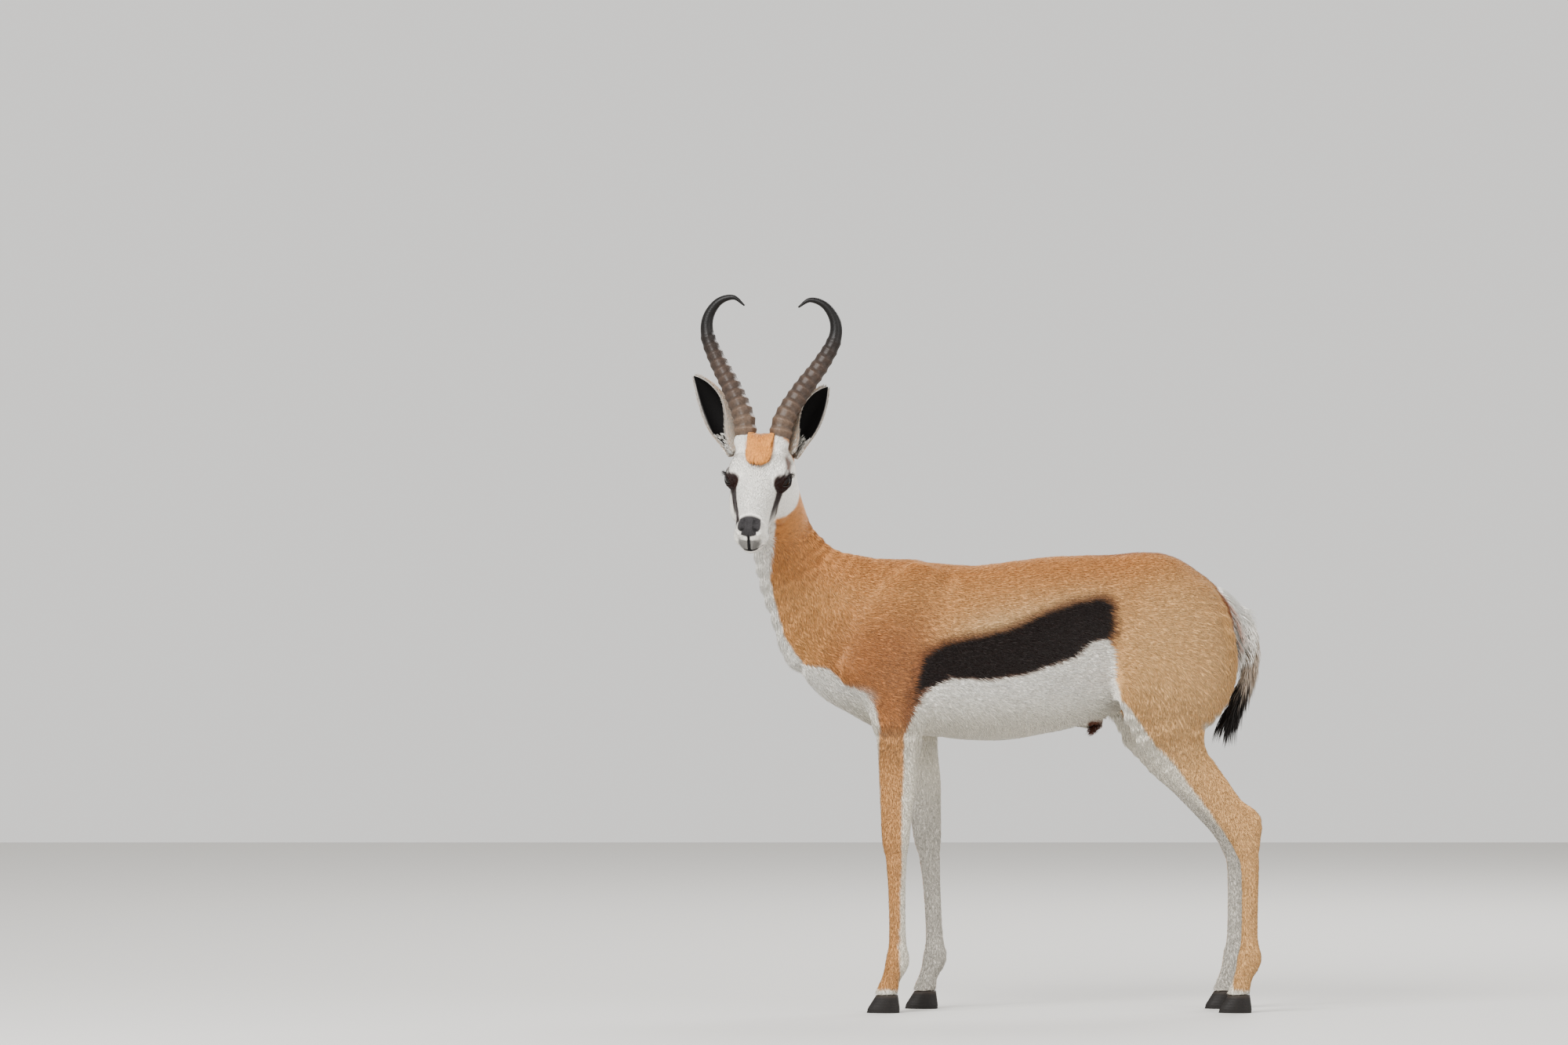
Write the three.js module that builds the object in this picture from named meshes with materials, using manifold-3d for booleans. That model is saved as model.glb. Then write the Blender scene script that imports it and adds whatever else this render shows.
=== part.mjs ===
// A springbok ram at life size, standing, with its head turned to look out over its left side.
// Millimetres, +Z up, the hooves on Z = 0. The body faces -X and its left side faces -Y.
// The body is one smooth form made of named masses, which is parted into head, neck, torso and legs.
// Horns, ears, eyes, tail and hooves are pieces of their own, and locks of hair are fused to their roots.
import * as THREE from "three";
import { mergeVertices } from "three/addons/utils/BufferGeometryUtils.js";
import Module from "manifold-3d";

const wasm = await Module();
wasm.setup();

// Driving dimensions
const gap = 0.3; // between two pieces that touch
const blend = 26; // how softly one mass of the body runs into the next
const farForeBack = 68; // how far the right fore hoof stands behind the left one
const farHindAhead = 20; // how far the right hind leg stands ahead of the left one
const hoofHeight = 30;
const eyeRadius = 16.5;
const lidThickness = 4.6;
const earThickness = 2.4;
const ringCount = 12; // raised rings on each horn
const mouthWidth = 2.4; // of the opening between the lips
const headTurn = THREE.MathUtils.degToRad(-8); // about Z, from facing -Y
const headRoll = THREE.MathUtils.degToRad(2);
const headPitch = THREE.MathUtils.degToRad(43); // the face against the vertical
const eyeMiddle = new THREE.Vector3(-367, -100, 905); // halfway between the eyes

// Sections of the trunk: x, back line, belly line, half width, height of the widest point as a share
const trunkRows = [
  [-296, 668, 584, 32, 0.5],
  [-262, 726, 537, 62, 0.5],
  [-218, 754, 507, 86, 0.48],
  [-172, 760, 481, 99, 0.46],
  [-118, 768, 470, 107, 0.45],
  [-62, 763, 463, 115, 0.44],
  [0, 759, 458, 122, 0.44],
  [60, 765, 459, 125, 0.44],
  [120, 773, 469, 122, 0.45],
  [180, 776, 483, 112, 0.5],
  [232, 777, 500, 101, 0.56],
  [290, 781, 530, 95, 0.6],
  [335, 774, 550, 90, 0.6],
  [380, 748, 566, 79, 0.6],
  [420, 716, 580, 60, 0.55],
  [446, 690, 600, 38, 0.5],
];

// Centre lines: x, distance from the midline, z, half depth, half width
const neckRows = [
  [-178, 0, 640, 108, 80],
  [-238, 0, 674, 103, 66],
  [-289, -2, 729, 80, 55],
  [-320, -8, 788, 59, 48],
  [-337, -17, 845, 50, 46],
  [-351, -32, 895, 49, 48],
  [-357, -46, 925, 42, 46],
];
const shoulderRows = [
  [-84, 48, 742, 32, 16],
  [-112, 74, 690, 52, 30],
  [-150, 84, 630, 58, 34],
  [-178, 82, 582, 44, 36],
];
const upperArmRows = [
  [-178, 80, 590, 42, 34],
  [-140, 78, 540, 50, 34],
  [-128, 73, 500, 50, 33],
];
const forelegRows = [
  [-128, 72, 505, 50, 33],
  [-128, 68, 470, 43, 29],
  [-130, 65, 430, 36, 25],
  [-131, 63, 385, 32, 22],
  [-133, 62, 335, 27.5, 20],
  [-134, 62, 290, 24, 22],
  [-133, 62, 262, 19, 18],
  [-132, 62, 200, 15.5, 14.5],
  [-131, 62, 122, 15.5, 15],
  [-131, 62, 88, 21, 19],
  [-141, 62, 60, 16.5, 17.5],
  [-150, 62, 30, 20, 19],
];
const thighRows = [
  [352, 58, 700, 62, 34],
  [350, 66, 645, 94, 44],
  [342, 70, 580, 104, 44],
  [328, 74, 522, 88, 40],
  [329, 74, 478, 63, 35],
];
const hindlegRows = [
  [329, 74, 478, 63, 35],
  [352, 72, 432, 46, 28],
  [383, 69, 393, 36, 22],
  [415, 66, 352, 30, 19],
  [446, 64, 314, 27, 19],
  [460, 63, 278, 21, 17],
  [466, 62, 240, 16, 14],
  [465, 62, 130, 15, 14],
  [465, 62, 92, 21.5, 18.5],
  [455, 62, 62, 16.5, 17.5],
  [446, 62, 30, 20, 19],
];
const tendonRows = [
  [388, 70, 420, 17, 13],
  [419, 67, 388, 11, 9],
  [444, 66, 355, 10, 8.5],
  [471, 64, 327, 15, 12],
  [469, 63, 286, 14, 12],
];

// Sections of the head from the poll to the nose: place along the head from the eyes, forehead line,
// jaw line, half width, height of the widest point as a share
const headRows = [
  [-106, -6, -52, 30, 0.5],
  [-88, 18, -72, 44, 0.5],
  [-60, 31, -82, 49, 0.55],
  [-30, 34, -86, 49, 0.58],
  [0, 31, -84, 46, 0.58],
  [25, 27, -77, 41, 0.52],
  [50, 24, -66, 35, 0.5],
  [75, 22, -57, 30, 0.5],
  [100, 20, -53, 27, 0.5],
  [116, 13, -52, 24, 0.48],
  [126, 2, -44, 16, 0.5],
];
// Rounded masses of the head, mirrored: sideways, up from the face, along it, and the three radii
const headMasses = [
  [34, -50, 4, 19, 32, 44], // chewing muscle
  [32, 15, -16, 17, 12, 22], // brow
  [27, 22, -66, 21, 17, 24], // root of the horn
  [12, 1, 117, 11, 14, 13], // wing of the nostril
  [14, -22, 108, 15, 13, 20], // upper lip
];
const middleMasses = [
  [0, -44, 104, 17, 13, 19], // chin
  [0, 3, 120, 17, 14, 11], // nose pad
];
const eyePlace = [39, 1, 0];

function smoothUnion(a, b, softness) {
  const near = Math.max(softness - Math.abs(a - b), 0) / softness;
  return Math.min(a, b) - (near * near * softness) / 4;
}

// Distance to an ellipsoid with the half axes a, b, c, less than zero inside it
function ellipsoidGap(u, v, w, a, b, c) {
  const ratio = Math.hypot(u / a, v / b, w / c);
  const slope = Math.hypot(u / (a * a), v / (b * b), w / (c * c));
  return slope > 1e-9 ? (ratio * (ratio - 1)) / slope : -Math.min(a, b, c);
}

// The row between two rows of a table, on a smooth curve through them, by the first column
function rowAt(rows, place) {
  const s = THREE.MathUtils.clamp(place, rows[0][0], rows[rows.length - 1][0]);
  let i = 0;
  while (i < rows.length - 2 && s > rows[i + 1][0]) i++;
  const before = rows[Math.max(i - 1, 0)];
  const from = rows[i];
  const to = rows[i + 1];
  const after = rows[Math.min(i + 2, rows.length - 1)];
  const step = to[0] - from[0];
  const t = (s - from[0]) / step;
  return from.map((value, j) => {
    const slopeIn = ((to[j] - before[j]) / (to[0] - before[0])) * step;
    const slopeOut = ((after[j] - value) / (after[0] - from[0])) * step;
    const rise = to[j] - value;
    const bend = slopeIn + slopeOut - 2 * rise;
    return value + t * (slopeIn + t * (3 * rise - 2 * slopeIn - slopeOut + t * bend));
  });
}

// A mass whose sections stand across one axis: the trunk along x, the head along its own length
function sectionGap(rows, along, across, up, endRadius) {
  const [, top, bottom, half, share] = rowAt(rows, along);
  const middle = bottom + (top - bottom) * share;
  const tall = up > middle ? top - middle : middle - bottom;
  const beyond = Math.max(rows[0][0] - along, along - rows[rows.length - 1][0], 0);
  return ellipsoidGap(across, up - middle, beyond, half, tall, endRadius);
}

// A limb: a centre line with an oval section square to it. The rows are first made finer.
function limbOf(rows, side, shift = () => 0) {
  const fine = [];
  const numbered = rows.map((row, i) => [i, row[0] + shift(row[2]), side * row[1], ...row.slice(2)]);
  const steps = 3;
  for (let i = 0; i <= (rows.length - 1) * steps; i++) fine.push(rowAt(numbered, i / steps).slice(1));
  const low = [0, 1, 2].map((k) => Math.min(...fine.map((row) => row[k] - row[3])));
  const high = [0, 1, 2].map((k) => Math.max(...fine.map((row) => row[k] + row[3])));
  const lengths = fine.slice(1).map((to, i) => {
    const from = fine[i];
    const axis = new THREE.Vector3(to[0] - from[0], to[1] - from[1], to[2] - from[2]);
    const long = axis.length();
    axis.divideScalar(long);
    const fore = new THREE.Vector3(0, 1, 0).cross(axis).normalize();
    return { from, to, long, axis, fore, across: axis.clone().cross(fore) };
  });
  const far = 2 * blend;
  return (x, y, z) => {
    const away = Math.max(low[0] - x, x - high[0], low[1] - y, y - high[1], low[2] - z, z - high[2]);
    if (away > far) return away;
    let least = Infinity;
    for (const { from, to, long, axis, fore, across } of lengths) {
      const [px, py, pz] = [x - from[0], y - from[1], z - from[2]];
      const along = px * axis.x + py * axis.y + pz * axis.z;
      const t = THREE.MathUtils.clamp(along / long, 0, 1);
      const depth = from[3] + (to[3] - from[3]) * t;
      const width = from[4] + (to[4] - from[4]) * t;
      const u = px * fore.x + py * fore.y + pz * fore.z;
      const v = px * across.x + py * across.y + pz * across.z;
      least = Math.min(least, ellipsoidGap(u, v, along - t * long, depth, width, Math.min(depth, width)));
    }
    return least;
  };
}

// The right fore leg slants back from its elbow and the right hind leg stands a little ahead
const elbowHeight = 500;
const farForeShift = (z) => farForeBack * (1 - Math.exp(-Math.max(elbowHeight + 40 - z, 0) / 150));
const farHindShift = (z) => -farHindAhead * THREE.MathUtils.clamp((640 - z) / 120, 0, 1);

const neck = limbOf(neckRows, 1);
const softMasses = [-1, 1].flatMap((side) => {
  const foreShift = side > 0 ? farForeShift : () => 0;
  const hindShift = side > 0 ? farHindShift : () => 0;
  return [
    limbOf(shoulderRows, side),
    limbOf(upperArmRows, side, foreShift),
    limbOf(thighRows, side, hindShift),
  ];
});
const firmMasses = [-1, 1].flatMap((side) => {
  const foreShift = side > 0 ? farForeShift : () => 0;
  const hindShift = side > 0 ? farHindShift : () => 0;
  return [
    limbOf(forelegRows, side, foreShift),
    limbOf(hindlegRows, side, hindShift),
    limbOf(tendonRows, side, hindShift),
  ];
});
const sheathPlace = [196, 0, 492];

function bodyGap(x, y, z) {
  let form = sectionGap(trunkRows, x, y, z, 24);
  form = smoothUnion(form, neck(x, y, z), 2 * blend);
  const sheath = ellipsoidGap(x - sheathPlace[0], y, z - sheathPlace[2], 26, 13, 13);
  form = smoothUnion(form, sheath, blend / 2);
  for (const mass of softMasses) form = smoothUnion(form, mass(x, y, z), blend);
  for (const mass of firmMasses) form = smoothUnion(form, mass(x, y, z), blend / 3);
  return form;
}

// The head's own frame: sideways to its left, up out of the forehead, and along the face to the nose.
// The upright frame turns and rolls with the head but doesn't nod: sideways, back and up.
const uprightTurn = new THREE.Matrix4().makeRotationFromEuler(new THREE.Euler(0, headRoll, headTurn, "ZYX"));
const faceFrame = new THREE.Matrix4().makeBasis(
  new THREE.Vector3(1, 0, 0),
  new THREE.Vector3(0, -Math.cos(headPitch), Math.sin(headPitch)),
  new THREE.Vector3(0, -Math.sin(headPitch), -Math.cos(headPitch)),
);
faceFrame.premultiply(uprightTurn).setPosition(eyeMiddle);
const faceInverse = faceFrame.clone().invert();
const headPoint = (sideways, up, along) => new THREE.Vector3(sideways, up, along).applyMatrix4(faceFrame);
const uprightPoint = (sideways, back, up) =>
  new THREE.Vector3(sideways, back, up).applyMatrix4(uprightTurn).add(eyeMiddle);

function headGapLocal(sideways, up, along) {
  let form = sectionGap(headRows, along, sideways, up, 12);
  const out = Math.abs(sideways);
  for (const [s, u, a, rs, ru, ra] of headMasses)
    form = smoothUnion(form, ellipsoidGap(out - s, up - u, along - a, rs, ru, ra), 12);
  for (const [s, u, a, rs, ru, ra] of middleMasses)
    form = smoothUnion(form, ellipsoidGap(sideways - s, up - u, along - a, rs, ru, ra), 9);
  const [es, eu, ea] = eyePlace;
  const orbit = Math.hypot(out - es, up - eu, along - ea) - (eyeRadius + lidThickness);
  return smoothUnion(form, orbit, 8);
}

function headGap(x, y, z) {
  const p = new THREE.Vector3(x, y, z).applyMatrix4(faceInverse);
  return headGapLocal(p.x, p.y, p.z);
}

const wholeGap = (x, y, z) => smoothUnion(bodyGap(x, y, z), headGap(x, y, z), blend);

// The surface of a form as a closed mesh: one vertex in each cell that the surface crosses, moved onto
// the surface, and one square for each edge of the grid that crosses it. The form is capped at the box.
function surfaceOf(form, low, high, cell) {
  const count = low.map((value, k) => Math.ceil((high[k] - value) / cell[k]) + 1);
  const [nx, ny, nz] = count;
  const strides = [1, nx, nx * ny];
  const values = new Float64Array(nx * ny * nz);
  const atEdge = (i, j, k) => !i || !j || !k || i === nx - 1 || j === ny - 1 || k === nz - 1;
  for (let k = 0, n = 0; k < nz; k++)
    for (let j = 0; j < ny; j++)
      for (let i = 0; i < nx; i++, n++) {
        const value = form(low[0] + i * cell[0], low[1] + j * cell[1], low[2] + k * cell[2]);
        values[n] = atEdge(i, j, k) ? Math.max(value, 1) : value;
      }
  const corners = [0, 1, 2, 3, 4, 5, 6, 7].map((c) => [c & 1, (c >> 1) & 1, (c >> 2) & 1]);
  const edges = corners.flatMap((from, a) =>
    [1, 2, 4].filter((bit) => !(a & bit)).map((bit) => [a, a | bit]),
  );
  const vertexOf = new Int32Array(values.length).fill(-1);
  const points = [];
  for (let k = 0; k < nz - 1; k++)
    for (let j = 0; j < ny - 1; j++)
      for (let i = 0; i < nx - 1; i++) {
        const base = i + j * nx + k * nx * ny;
        const v = corners.map(([a, b, c]) => values[base + a + b * nx + c * nx * ny]);
        const crossed = edges.filter(([a, b]) => v[a] < 0 !== v[b] < 0);
        if (!crossed.length) continue;
        const p = [0, 0, 0];
        for (const [a, b] of crossed) {
          const t = v[a] / (v[a] - v[b]);
          for (let m = 0; m < 3; m++) p[m] += (corners[a][m] + t * (corners[b][m] - corners[a][m])) / crossed.length;
        }
        const place = [low[0] + (i + p[0]) * cell[0], low[1] + (j + p[1]) * cell[1], low[2] + (k + p[2]) * cell[2]];
        const capped = atEdge(i, j, k) || atEdge(i + 1, j + 1, k + 1);
        vertexOf[base] = points.length / 3;
        points.push(...(capped ? place : ontoSurface(form, place, cell)));
      }
  const faces = [];
  const distance = (a, b) =>
    Math.hypot(points[3 * a] - points[3 * b], points[3 * a + 1] - points[3 * b + 1], points[3 * a + 2] - points[3 * b + 2]);
  for (let axis = 0; axis < 3; axis++) {
    const u = (axis + 1) % 3;
    const v = (axis + 2) % 3;
    for (let k = 0; k < nz; k++)
      for (let j = 0; j < ny; j++)
        for (let i = 0; i < nx; i++) {
          const at = [i, j, k];
          if (at[axis] >= count[axis] - 1 || !at[u] || !at[v]) continue;
          const n = i + j * nx + k * nx * ny;
          const inside = values[n] < 0;
          if (inside === values[n + strides[axis]] < 0) continue;
          const ring = [n, n - strides[u], n - strides[u] - strides[v], n - strides[v]].map((c) => vertexOf[c]);
          if (!inside) ring.reverse();
          const [a, b, c, d] = ring;
          if (distance(a, c) < distance(b, d)) faces.push(a, b, c, a, c, d);
          else faces.push(a, b, d, b, c, d);
        }
  }
  return solidFrom(points, faces);
}

function ontoSurface(form, start, cell) {
  const p = [...start];
  const reach = 0.5;
  for (let turn = 0; turn < 3; turn++) {
    const value = form(...p);
    const slope = [0, 1, 2].map((m) => {
      const q = [...p];
      q[m] += reach;
      return (form(...q) - value) / reach;
    });
    const steep = Math.max(slope[0] ** 2 + slope[1] ** 2 + slope[2] ** 2, 0.2);
    for (let m = 0; m < 3; m++) {
      const moved = p[m] - (value * slope[m]) / steep;
      p[m] = THREE.MathUtils.clamp(moved, start[m] - 0.45 * cell[m], start[m] + 0.45 * cell[m]);
    }
  }
  return p;
}

// Solids, and meshes made of them
function solidFrom(points, faces) {
  const made = new wasm.Manifold(
    new wasm.Mesh({ numProp: 3, vertProperties: new Float32Array(points), triVerts: new Uint32Array(faces) }),
  );
  if (made.volume() < 0) throw new Error("a surface faces inwards");
  return made;
}

function solidOf(geometry) {
  const bare = geometry.clone();
  bare.deleteAttribute("normal");
  bare.deleteAttribute("uv");
  const merged = mergeVertices(bare, 1e-3);
  return solidFrom(merged.attributes.position.array, merged.index.array);
}

const joined = (solids) => solids.reduce((sum, solid) => sum.add(solid));
const largest = (solid) =>
  solid.decompose().reduce((best, body) => (body.volume() > best.volume() ? body : best));

// A node's mesh. Points that a cut leaves closer than the weld are made one.
const weld = 0.08;
function nodeOf(name, solid, [colour, roughness]) {
  const mesh = largest(solid).simplify(weld).getMesh();
  const geometry = new THREE.BufferGeometry();
  const places = new Float32Array(mesh.numVert * 3);
  for (let i = 0; i < mesh.numVert; i++)
    places.set(mesh.vertProperties.subarray(i * mesh.numProp, i * mesh.numProp + 3), i * 3);
  geometry.setAttribute("position", new THREE.BufferAttribute(places, 3));
  geometry.setIndex(new THREE.BufferAttribute(new Uint32Array(mesh.triVerts), 1));
  geometry.computeVertexNormals();
  const material = new THREE.MeshStandardMaterial({ color: colour, roughness, metalness: 0 });
  const made = new THREE.Mesh(geometry, material);
  made.name = name;
  return made;
}

// Rings of points joined into a closed tube, each end closed with a fan
function loftOf(rings) {
  const size = rings[0].length;
  const points = rings.flat().flatMap((p) => [p.x, p.y, p.z]);
  const faces = [];
  for (let i = 0; i < rings.length - 1; i++)
    for (let j = 0; j < size; j++) {
      const a = i * size + j;
      const b = i * size + ((j + 1) % size);
      faces.push(a, b, b + size, a, b + size, a + size);
    }
  for (const [ring, flip] of [[0, true], [rings.length - 1, false]]) {
    const middle = new THREE.Vector3();
    for (const p of rings[ring]) middle.addScaledVector(p, 1 / size);
    const hub = points.length / 3;
    points.push(middle.x, middle.y, middle.z);
    for (let j = 0; j < size; j++) {
      const a = ring * size + j;
      const b = ring * size + ((j + 1) % size);
      faces.push(...(flip ? [hub, b, a] : [hub, a, b]));
    }
  }
  const volume = signedVolume(points, faces);
  if (volume < 0) for (let i = 0; i < faces.length; i += 3) [faces[i + 1], faces[i + 2]] = [faces[i + 2], faces[i + 1]];
  return solidFrom(points, faces);
}

function signedVolume(points, faces) {
  const [a, b, c] = [new THREE.Vector3(), new THREE.Vector3(), new THREE.Vector3()];
  let sum = 0;
  for (let i = 0; i < faces.length; i += 3) {
    a.fromArray(points, 3 * faces[i]);
    b.fromArray(points, 3 * faces[i + 1]);
    c.fromArray(points, 3 * faces[i + 2]);
    sum += a.dot(b.cross(c)) / 6;
  }
  return sum;
}

// A block that parts two pieces: an outline in the plane of x and z (or y and z), drawn across it.
// Grown outlines take the gap away from the neighbour.
function blockOf(outline, from, to, grown = 0, plane = "xz") {
  const turn = THREE.ShapeUtils.area(outline.map(([u, v]) => new THREE.Vector2(u, v))) > 0 ? 1 : -1;
  const n = outline.length;
  const moved = outline.map(([u, v], i) => {
    const [pu, pv] = outline[(i + n - 1) % n];
    const [qu, qv] = outline[(i + 1) % n];
    const before = new THREE.Vector2(v - pv, pu - u).normalize();
    const after = new THREE.Vector2(qv - v, u - qu).normalize();
    const out = before.clone().add(after).normalize();
    const reach = (turn * grown) / Math.max(out.dot(before), 0.3);
    return new THREE.Vector2(u + out.x * reach, v + out.y * reach);
  });
  const rings = [from - grown, to + grown].map((depth) =>
    moved.map((p) => (plane === "xz" ? new THREE.Vector3(p.x, depth, p.y) : new THREE.Vector3(depth, p.x, p.y))),
  );
  return prismOf(rings, moved);
}

function prismOf([front, back], flat) {
  const caps = THREE.ShapeUtils.triangulateShape(flat, []);
  const n = flat.length;
  const points = [...front, ...back].flatMap((p) => [p.x, p.y, p.z]);
  const faces = [];
  for (const [a, b, c] of caps) faces.push(a, b, c, a + n, c + n, b + n);
  const forwards = THREE.ShapeUtils.area(flat) > 0;
  for (let i = 0; i < n; i++) {
    const j = (i + 1) % n;
    faces.push(...(forwards ? [j, i, i + n, j, i + n, j + n] : [i, j, i + n, j, j + n, i + n]));
  }
  if (signedVolume(points, faces) < 0)
    for (let i = 0; i < faces.length; i += 3) [faces[i + 1], faces[i + 2]] = [faces[i + 2], faces[i + 1]];
  return solidFrom(points, faces);
}

// Where the body is parted
const neckOutline = [[-420, 556], [-150, 800], [-150, 1100], [-520, 1100], [-520, 556]];
const headOutline = [[-16, 1040], [-10, 930], [-44, 856], [-88, 800], [-92, 730], [-330, 730], [-330, 1040]];
const forelegOutline = [[-196, 440], [-190, 505], [-160, 528], [-100, 526], [-62, 505], [-40, 440], [20, 10], [-230, 10]];
const thighOutline = [[226, 470], [226, 600], [262, 672], [330, 704], [392, 690], [440, 640], [470, 560], [470, 470]];
const shankOutline = [[222, 548], [475, 548], [520, 10], [222, 10]];
const legReach = 200;
const chestCore = 26; // half width of the brisket that stays between the fore legs
const rumpCore = 34; // half width of the rump that stays between the thighs

function blockPair(outline, side, inner, grown) {
  return side > 0 ? blockOf(outline, inner, legReach, grown) : blockOf(outline, -legReach, -inner, grown);
}
const forelegBlock = (side, grown) => blockPair(forelegOutline, side, chestCore, grown);
const hindlegBlock = (side, grown) =>
  blockPair(thighOutline, side, rumpCore, grown).add(blockPair(shankOutline, side, gap, grown));
const neckBlock = (grown) => blockOf(neckOutline, -220, 220, grown);
const headBlock = (grown) => blockOf(headOutline, -560, -180, grown, "yz");

// A flat lock of hair: a lens-shaped section that bends along its lie and tapers to the tip
function lockOf(path, flat, width, thickness) {
  const curve = new THREE.CatmullRomCurve3(path);
  const rings = 3;
  const made = [];
  for (let i = 0; i <= rings; i++) {
    const t = i / rings;
    const centre = curve.getPoint(t);
    const along = curve.getTangent(t);
    const across = along.clone().cross(flat).normalize();
    const up = across.clone().cross(along).normalize();
    const taper = Math.max(1 - t * t, 0.08);
    const [w, h] = [(width / 2) * taper, (thickness / 2) * Math.max(taper, 0.3)];
    made.push([
      centre.clone().addScaledVector(across, w),
      centre.clone().addScaledVector(up, h),
      centre.clone().addScaledVector(across, -w),
      centre.clone().addScaledVector(up, -h),
    ]);
  }
  return loftOf(made);
}

// A seeded draw, so that the locks come out alike each time
let drawn = 7;
function draw(least, most) {
  drawn = (drawn * 16807) % 2147483647;
  return least + (most - least) * (drawn / 2147483647);
}

// Horns: a lyre that leans back, with raised rings over the lower part
const hornPath = [
  [24.5, -2, -16], [28.6, 0, 0], [35, 8, 35], [58, 28, 80], [88, 49, 127], [108, 60, 168],
  [109, 62, 200], [92, 60, 227], [66, 57, 236], [46, 54, 223],
];
const hornBase = [0, 35, 68]; // sideways, back and up from the middle of the eyes
const hornRadius = 18.5;

function hornOf(side, grown = 0) {
  const curve = new THREE.CatmullRomCurve3(
    hornPath.map(([s, b, u]) => uprightPoint(side * (s + hornBase[0]), b + hornBase[1], u + hornBase[2])),
  );
  const stops = [0];
  const ringed = 0.66;
  for (let i = 0; i < ringCount; i++) {
    const start = 0.06 + ((ringed - 0.06) * i) / ringCount;
    const step = (ringed - 0.06) / ringCount;
    stops.push(start, start + 0.62 * step);
  }
  for (let i = 0; i <= 9; i++) stops.push(ringed + ((1 - ringed) * i) / 9);
  const radiusAt = (t) => hornRadius * (1 - 0.3 * t - 0.62 * t ** 3);
  const rings = stops.map((t, i) => {
    const centre = curve.getPointAt(t);
    const along = curve.getTangentAt(t);
    const across = new THREE.Vector3(0, 1, 0).cross(along).normalize();
    const up = along.clone().cross(across);
    const crest = i > 0 && i <= 2 * ringCount && i % 2 === 0;
    const raised = crest ? 1.9 * (1 - 0.6 * (t / ringed)) : 0;
    const r = Math.max(radiusAt(t) + raised, 0.8) + grown;
    const ring = [];
    const sides = 9;
    for (let j = 0; j < sides; j++) {
      const turn = (2 * Math.PI * j) / sides;
      const reach = new THREE.Vector3();
      reach.addScaledVector(across, Math.cos(turn) * r).addScaledVector(up, Math.sin(turn) * r * 1.08);
      ring.push(centre.clone().add(reach));
    }
    return ring;
  });
  return loftOf(rings);
}

// Ears: a leaf-shaped cup on a round root, open forwards and outwards
const earRoot = [50, 52, 40];
const earTips = { left: [100, 98, 158], right: [130, 96, 168] };
const earWidths = { left: 1, right: 1.16 };
const earSections = [
  [0, 11, 150], [0.1, 13.5, 150], [0.22, 17, 138], [0.38, 21.5, 112], [0.55, 24, 96], [0.7, 22.5, 88],
  [0.84, 17, 80], [0.94, 9.5, 70], [1, 2.6, 60],
]; // share of the length, radius, half of the arc in degrees

function earOf(side, grown = 0) {
  const name = side > 0 ? "left" : "right";
  const tip = earTips[name];
  const root = uprightPoint(side * earRoot[0], earRoot[1], earRoot[2]);
  const end = uprightPoint(side * tip[0], tip[1], tip[2]);
  const along = end.clone().sub(root);
  const forwards = uprightPoint(side * 0.62, -0.78, 0).sub(eyeMiddle);
  const open = forwards.clone().addScaledVector(along, -forwards.dot(along) / along.lengthSq()).normalize();
  const across = along.clone().normalize().cross(open);
  const half = 5;
  const rings = earSections.map(([t, narrow, degrees]) => {
    const radius = narrow * (1 + (earWidths[name] - 1) * Math.sin(Math.PI * t));
    const reach = THREE.MathUtils.degToRad(degrees);
    const centre = root.clone().addScaledVector(along, t);
    centre.addScaledVector(open, -7 * Math.sin(Math.PI * t));
    const r = radius / Math.sin(Math.min(reach, Math.PI / 2));
    const arc = (size, flip) =>
      Array.from({ length: half + 1 }, (unused, i) => {
        const turn = flip * reach * ((2 * i) / half - 1);
        const out = centre.clone().addScaledVector(open, (r - radius) * 0.6);
        return out.addScaledVector(open, -size * Math.cos(turn)).addScaledVector(across, size * Math.sin(turn));
      });
    return [...arc(r + grown, 1), ...arc(Math.max(r - earThickness - grown, 0.4), -1)];
  });
  const shell = loftOf(rings);
  const stub = solidOf(new THREE.SphereGeometry(13.4 + grown, 12, 8));
  const place = root.clone().addScaledVector(along, 0.02);
  return shell.add(stub.translate([place.x, place.y, place.z]));
}

// The tail: a thin shaft that hangs behind the rump and ends in a tuft of dark locks
const tailPath = [[408, 0, 690], [448, 0, 672], [467, -2, 628], [466, -3, 580], [452, -4, 540], [440, -5, 512]];
const tailRadii = [13, 13, 11.5, 9.5, 8, 5];
function tailShaft(grown = 0) {
  const curve = new THREE.CatmullRomCurve3(tailPath.map((p) => new THREE.Vector3(...p)));
  const steps = 14;
  const rings = Array.from({ length: steps + 1 }, (unused, i) => {
    const t = i / steps;
    const centre = curve.getPoint(t);
    const along = curve.getTangent(t);
    const across = new THREE.Vector3(0, 1, 0);
    const up = along.clone().cross(across).normalize();
    const place = t * (tailRadii.length - 1);
    const from = Math.min(Math.floor(place), tailRadii.length - 2);
    const r = THREE.MathUtils.lerp(tailRadii[from], tailRadii[from + 1], place - from) + grown;
    return Array.from({ length: 9 }, (none, j) => {
      const turn = (2 * Math.PI * j) / 9;
      const reach = across.clone().multiplyScalar(Math.cos(turn) * r);
      return centre.clone().add(reach).addScaledVector(up, Math.sin(turn) * r);
    });
  });
  return loftOf(rings);
}

// Hooves: two claws a foot, each a pointed wedge with a flat sole
function clawOf(ankle, inward) {
  const outline = [[-33, 3], [-24, 9.5], [-10, 14.5], [6, 16], [17, 13], [22, 7], [20, 1.5], [0, 1.5], [-22, 1.5]];
  const levels = [
    [0, 1, 1, 0],
    [0.25, 0.97, 1.02, 1],
    [1, 0.66, 1.08, 5],
  ]; // share of the height, length, width, shift back
  const rings = levels.map(([share, long, wide, back]) =>
    outline.map(([x, y]) => new THREE.Vector3(ankle[0] + x * long + back, ankle[1] + inward * y * wide, share * hoofHeight)),
  );
  return loftOf(rings);
}

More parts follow.
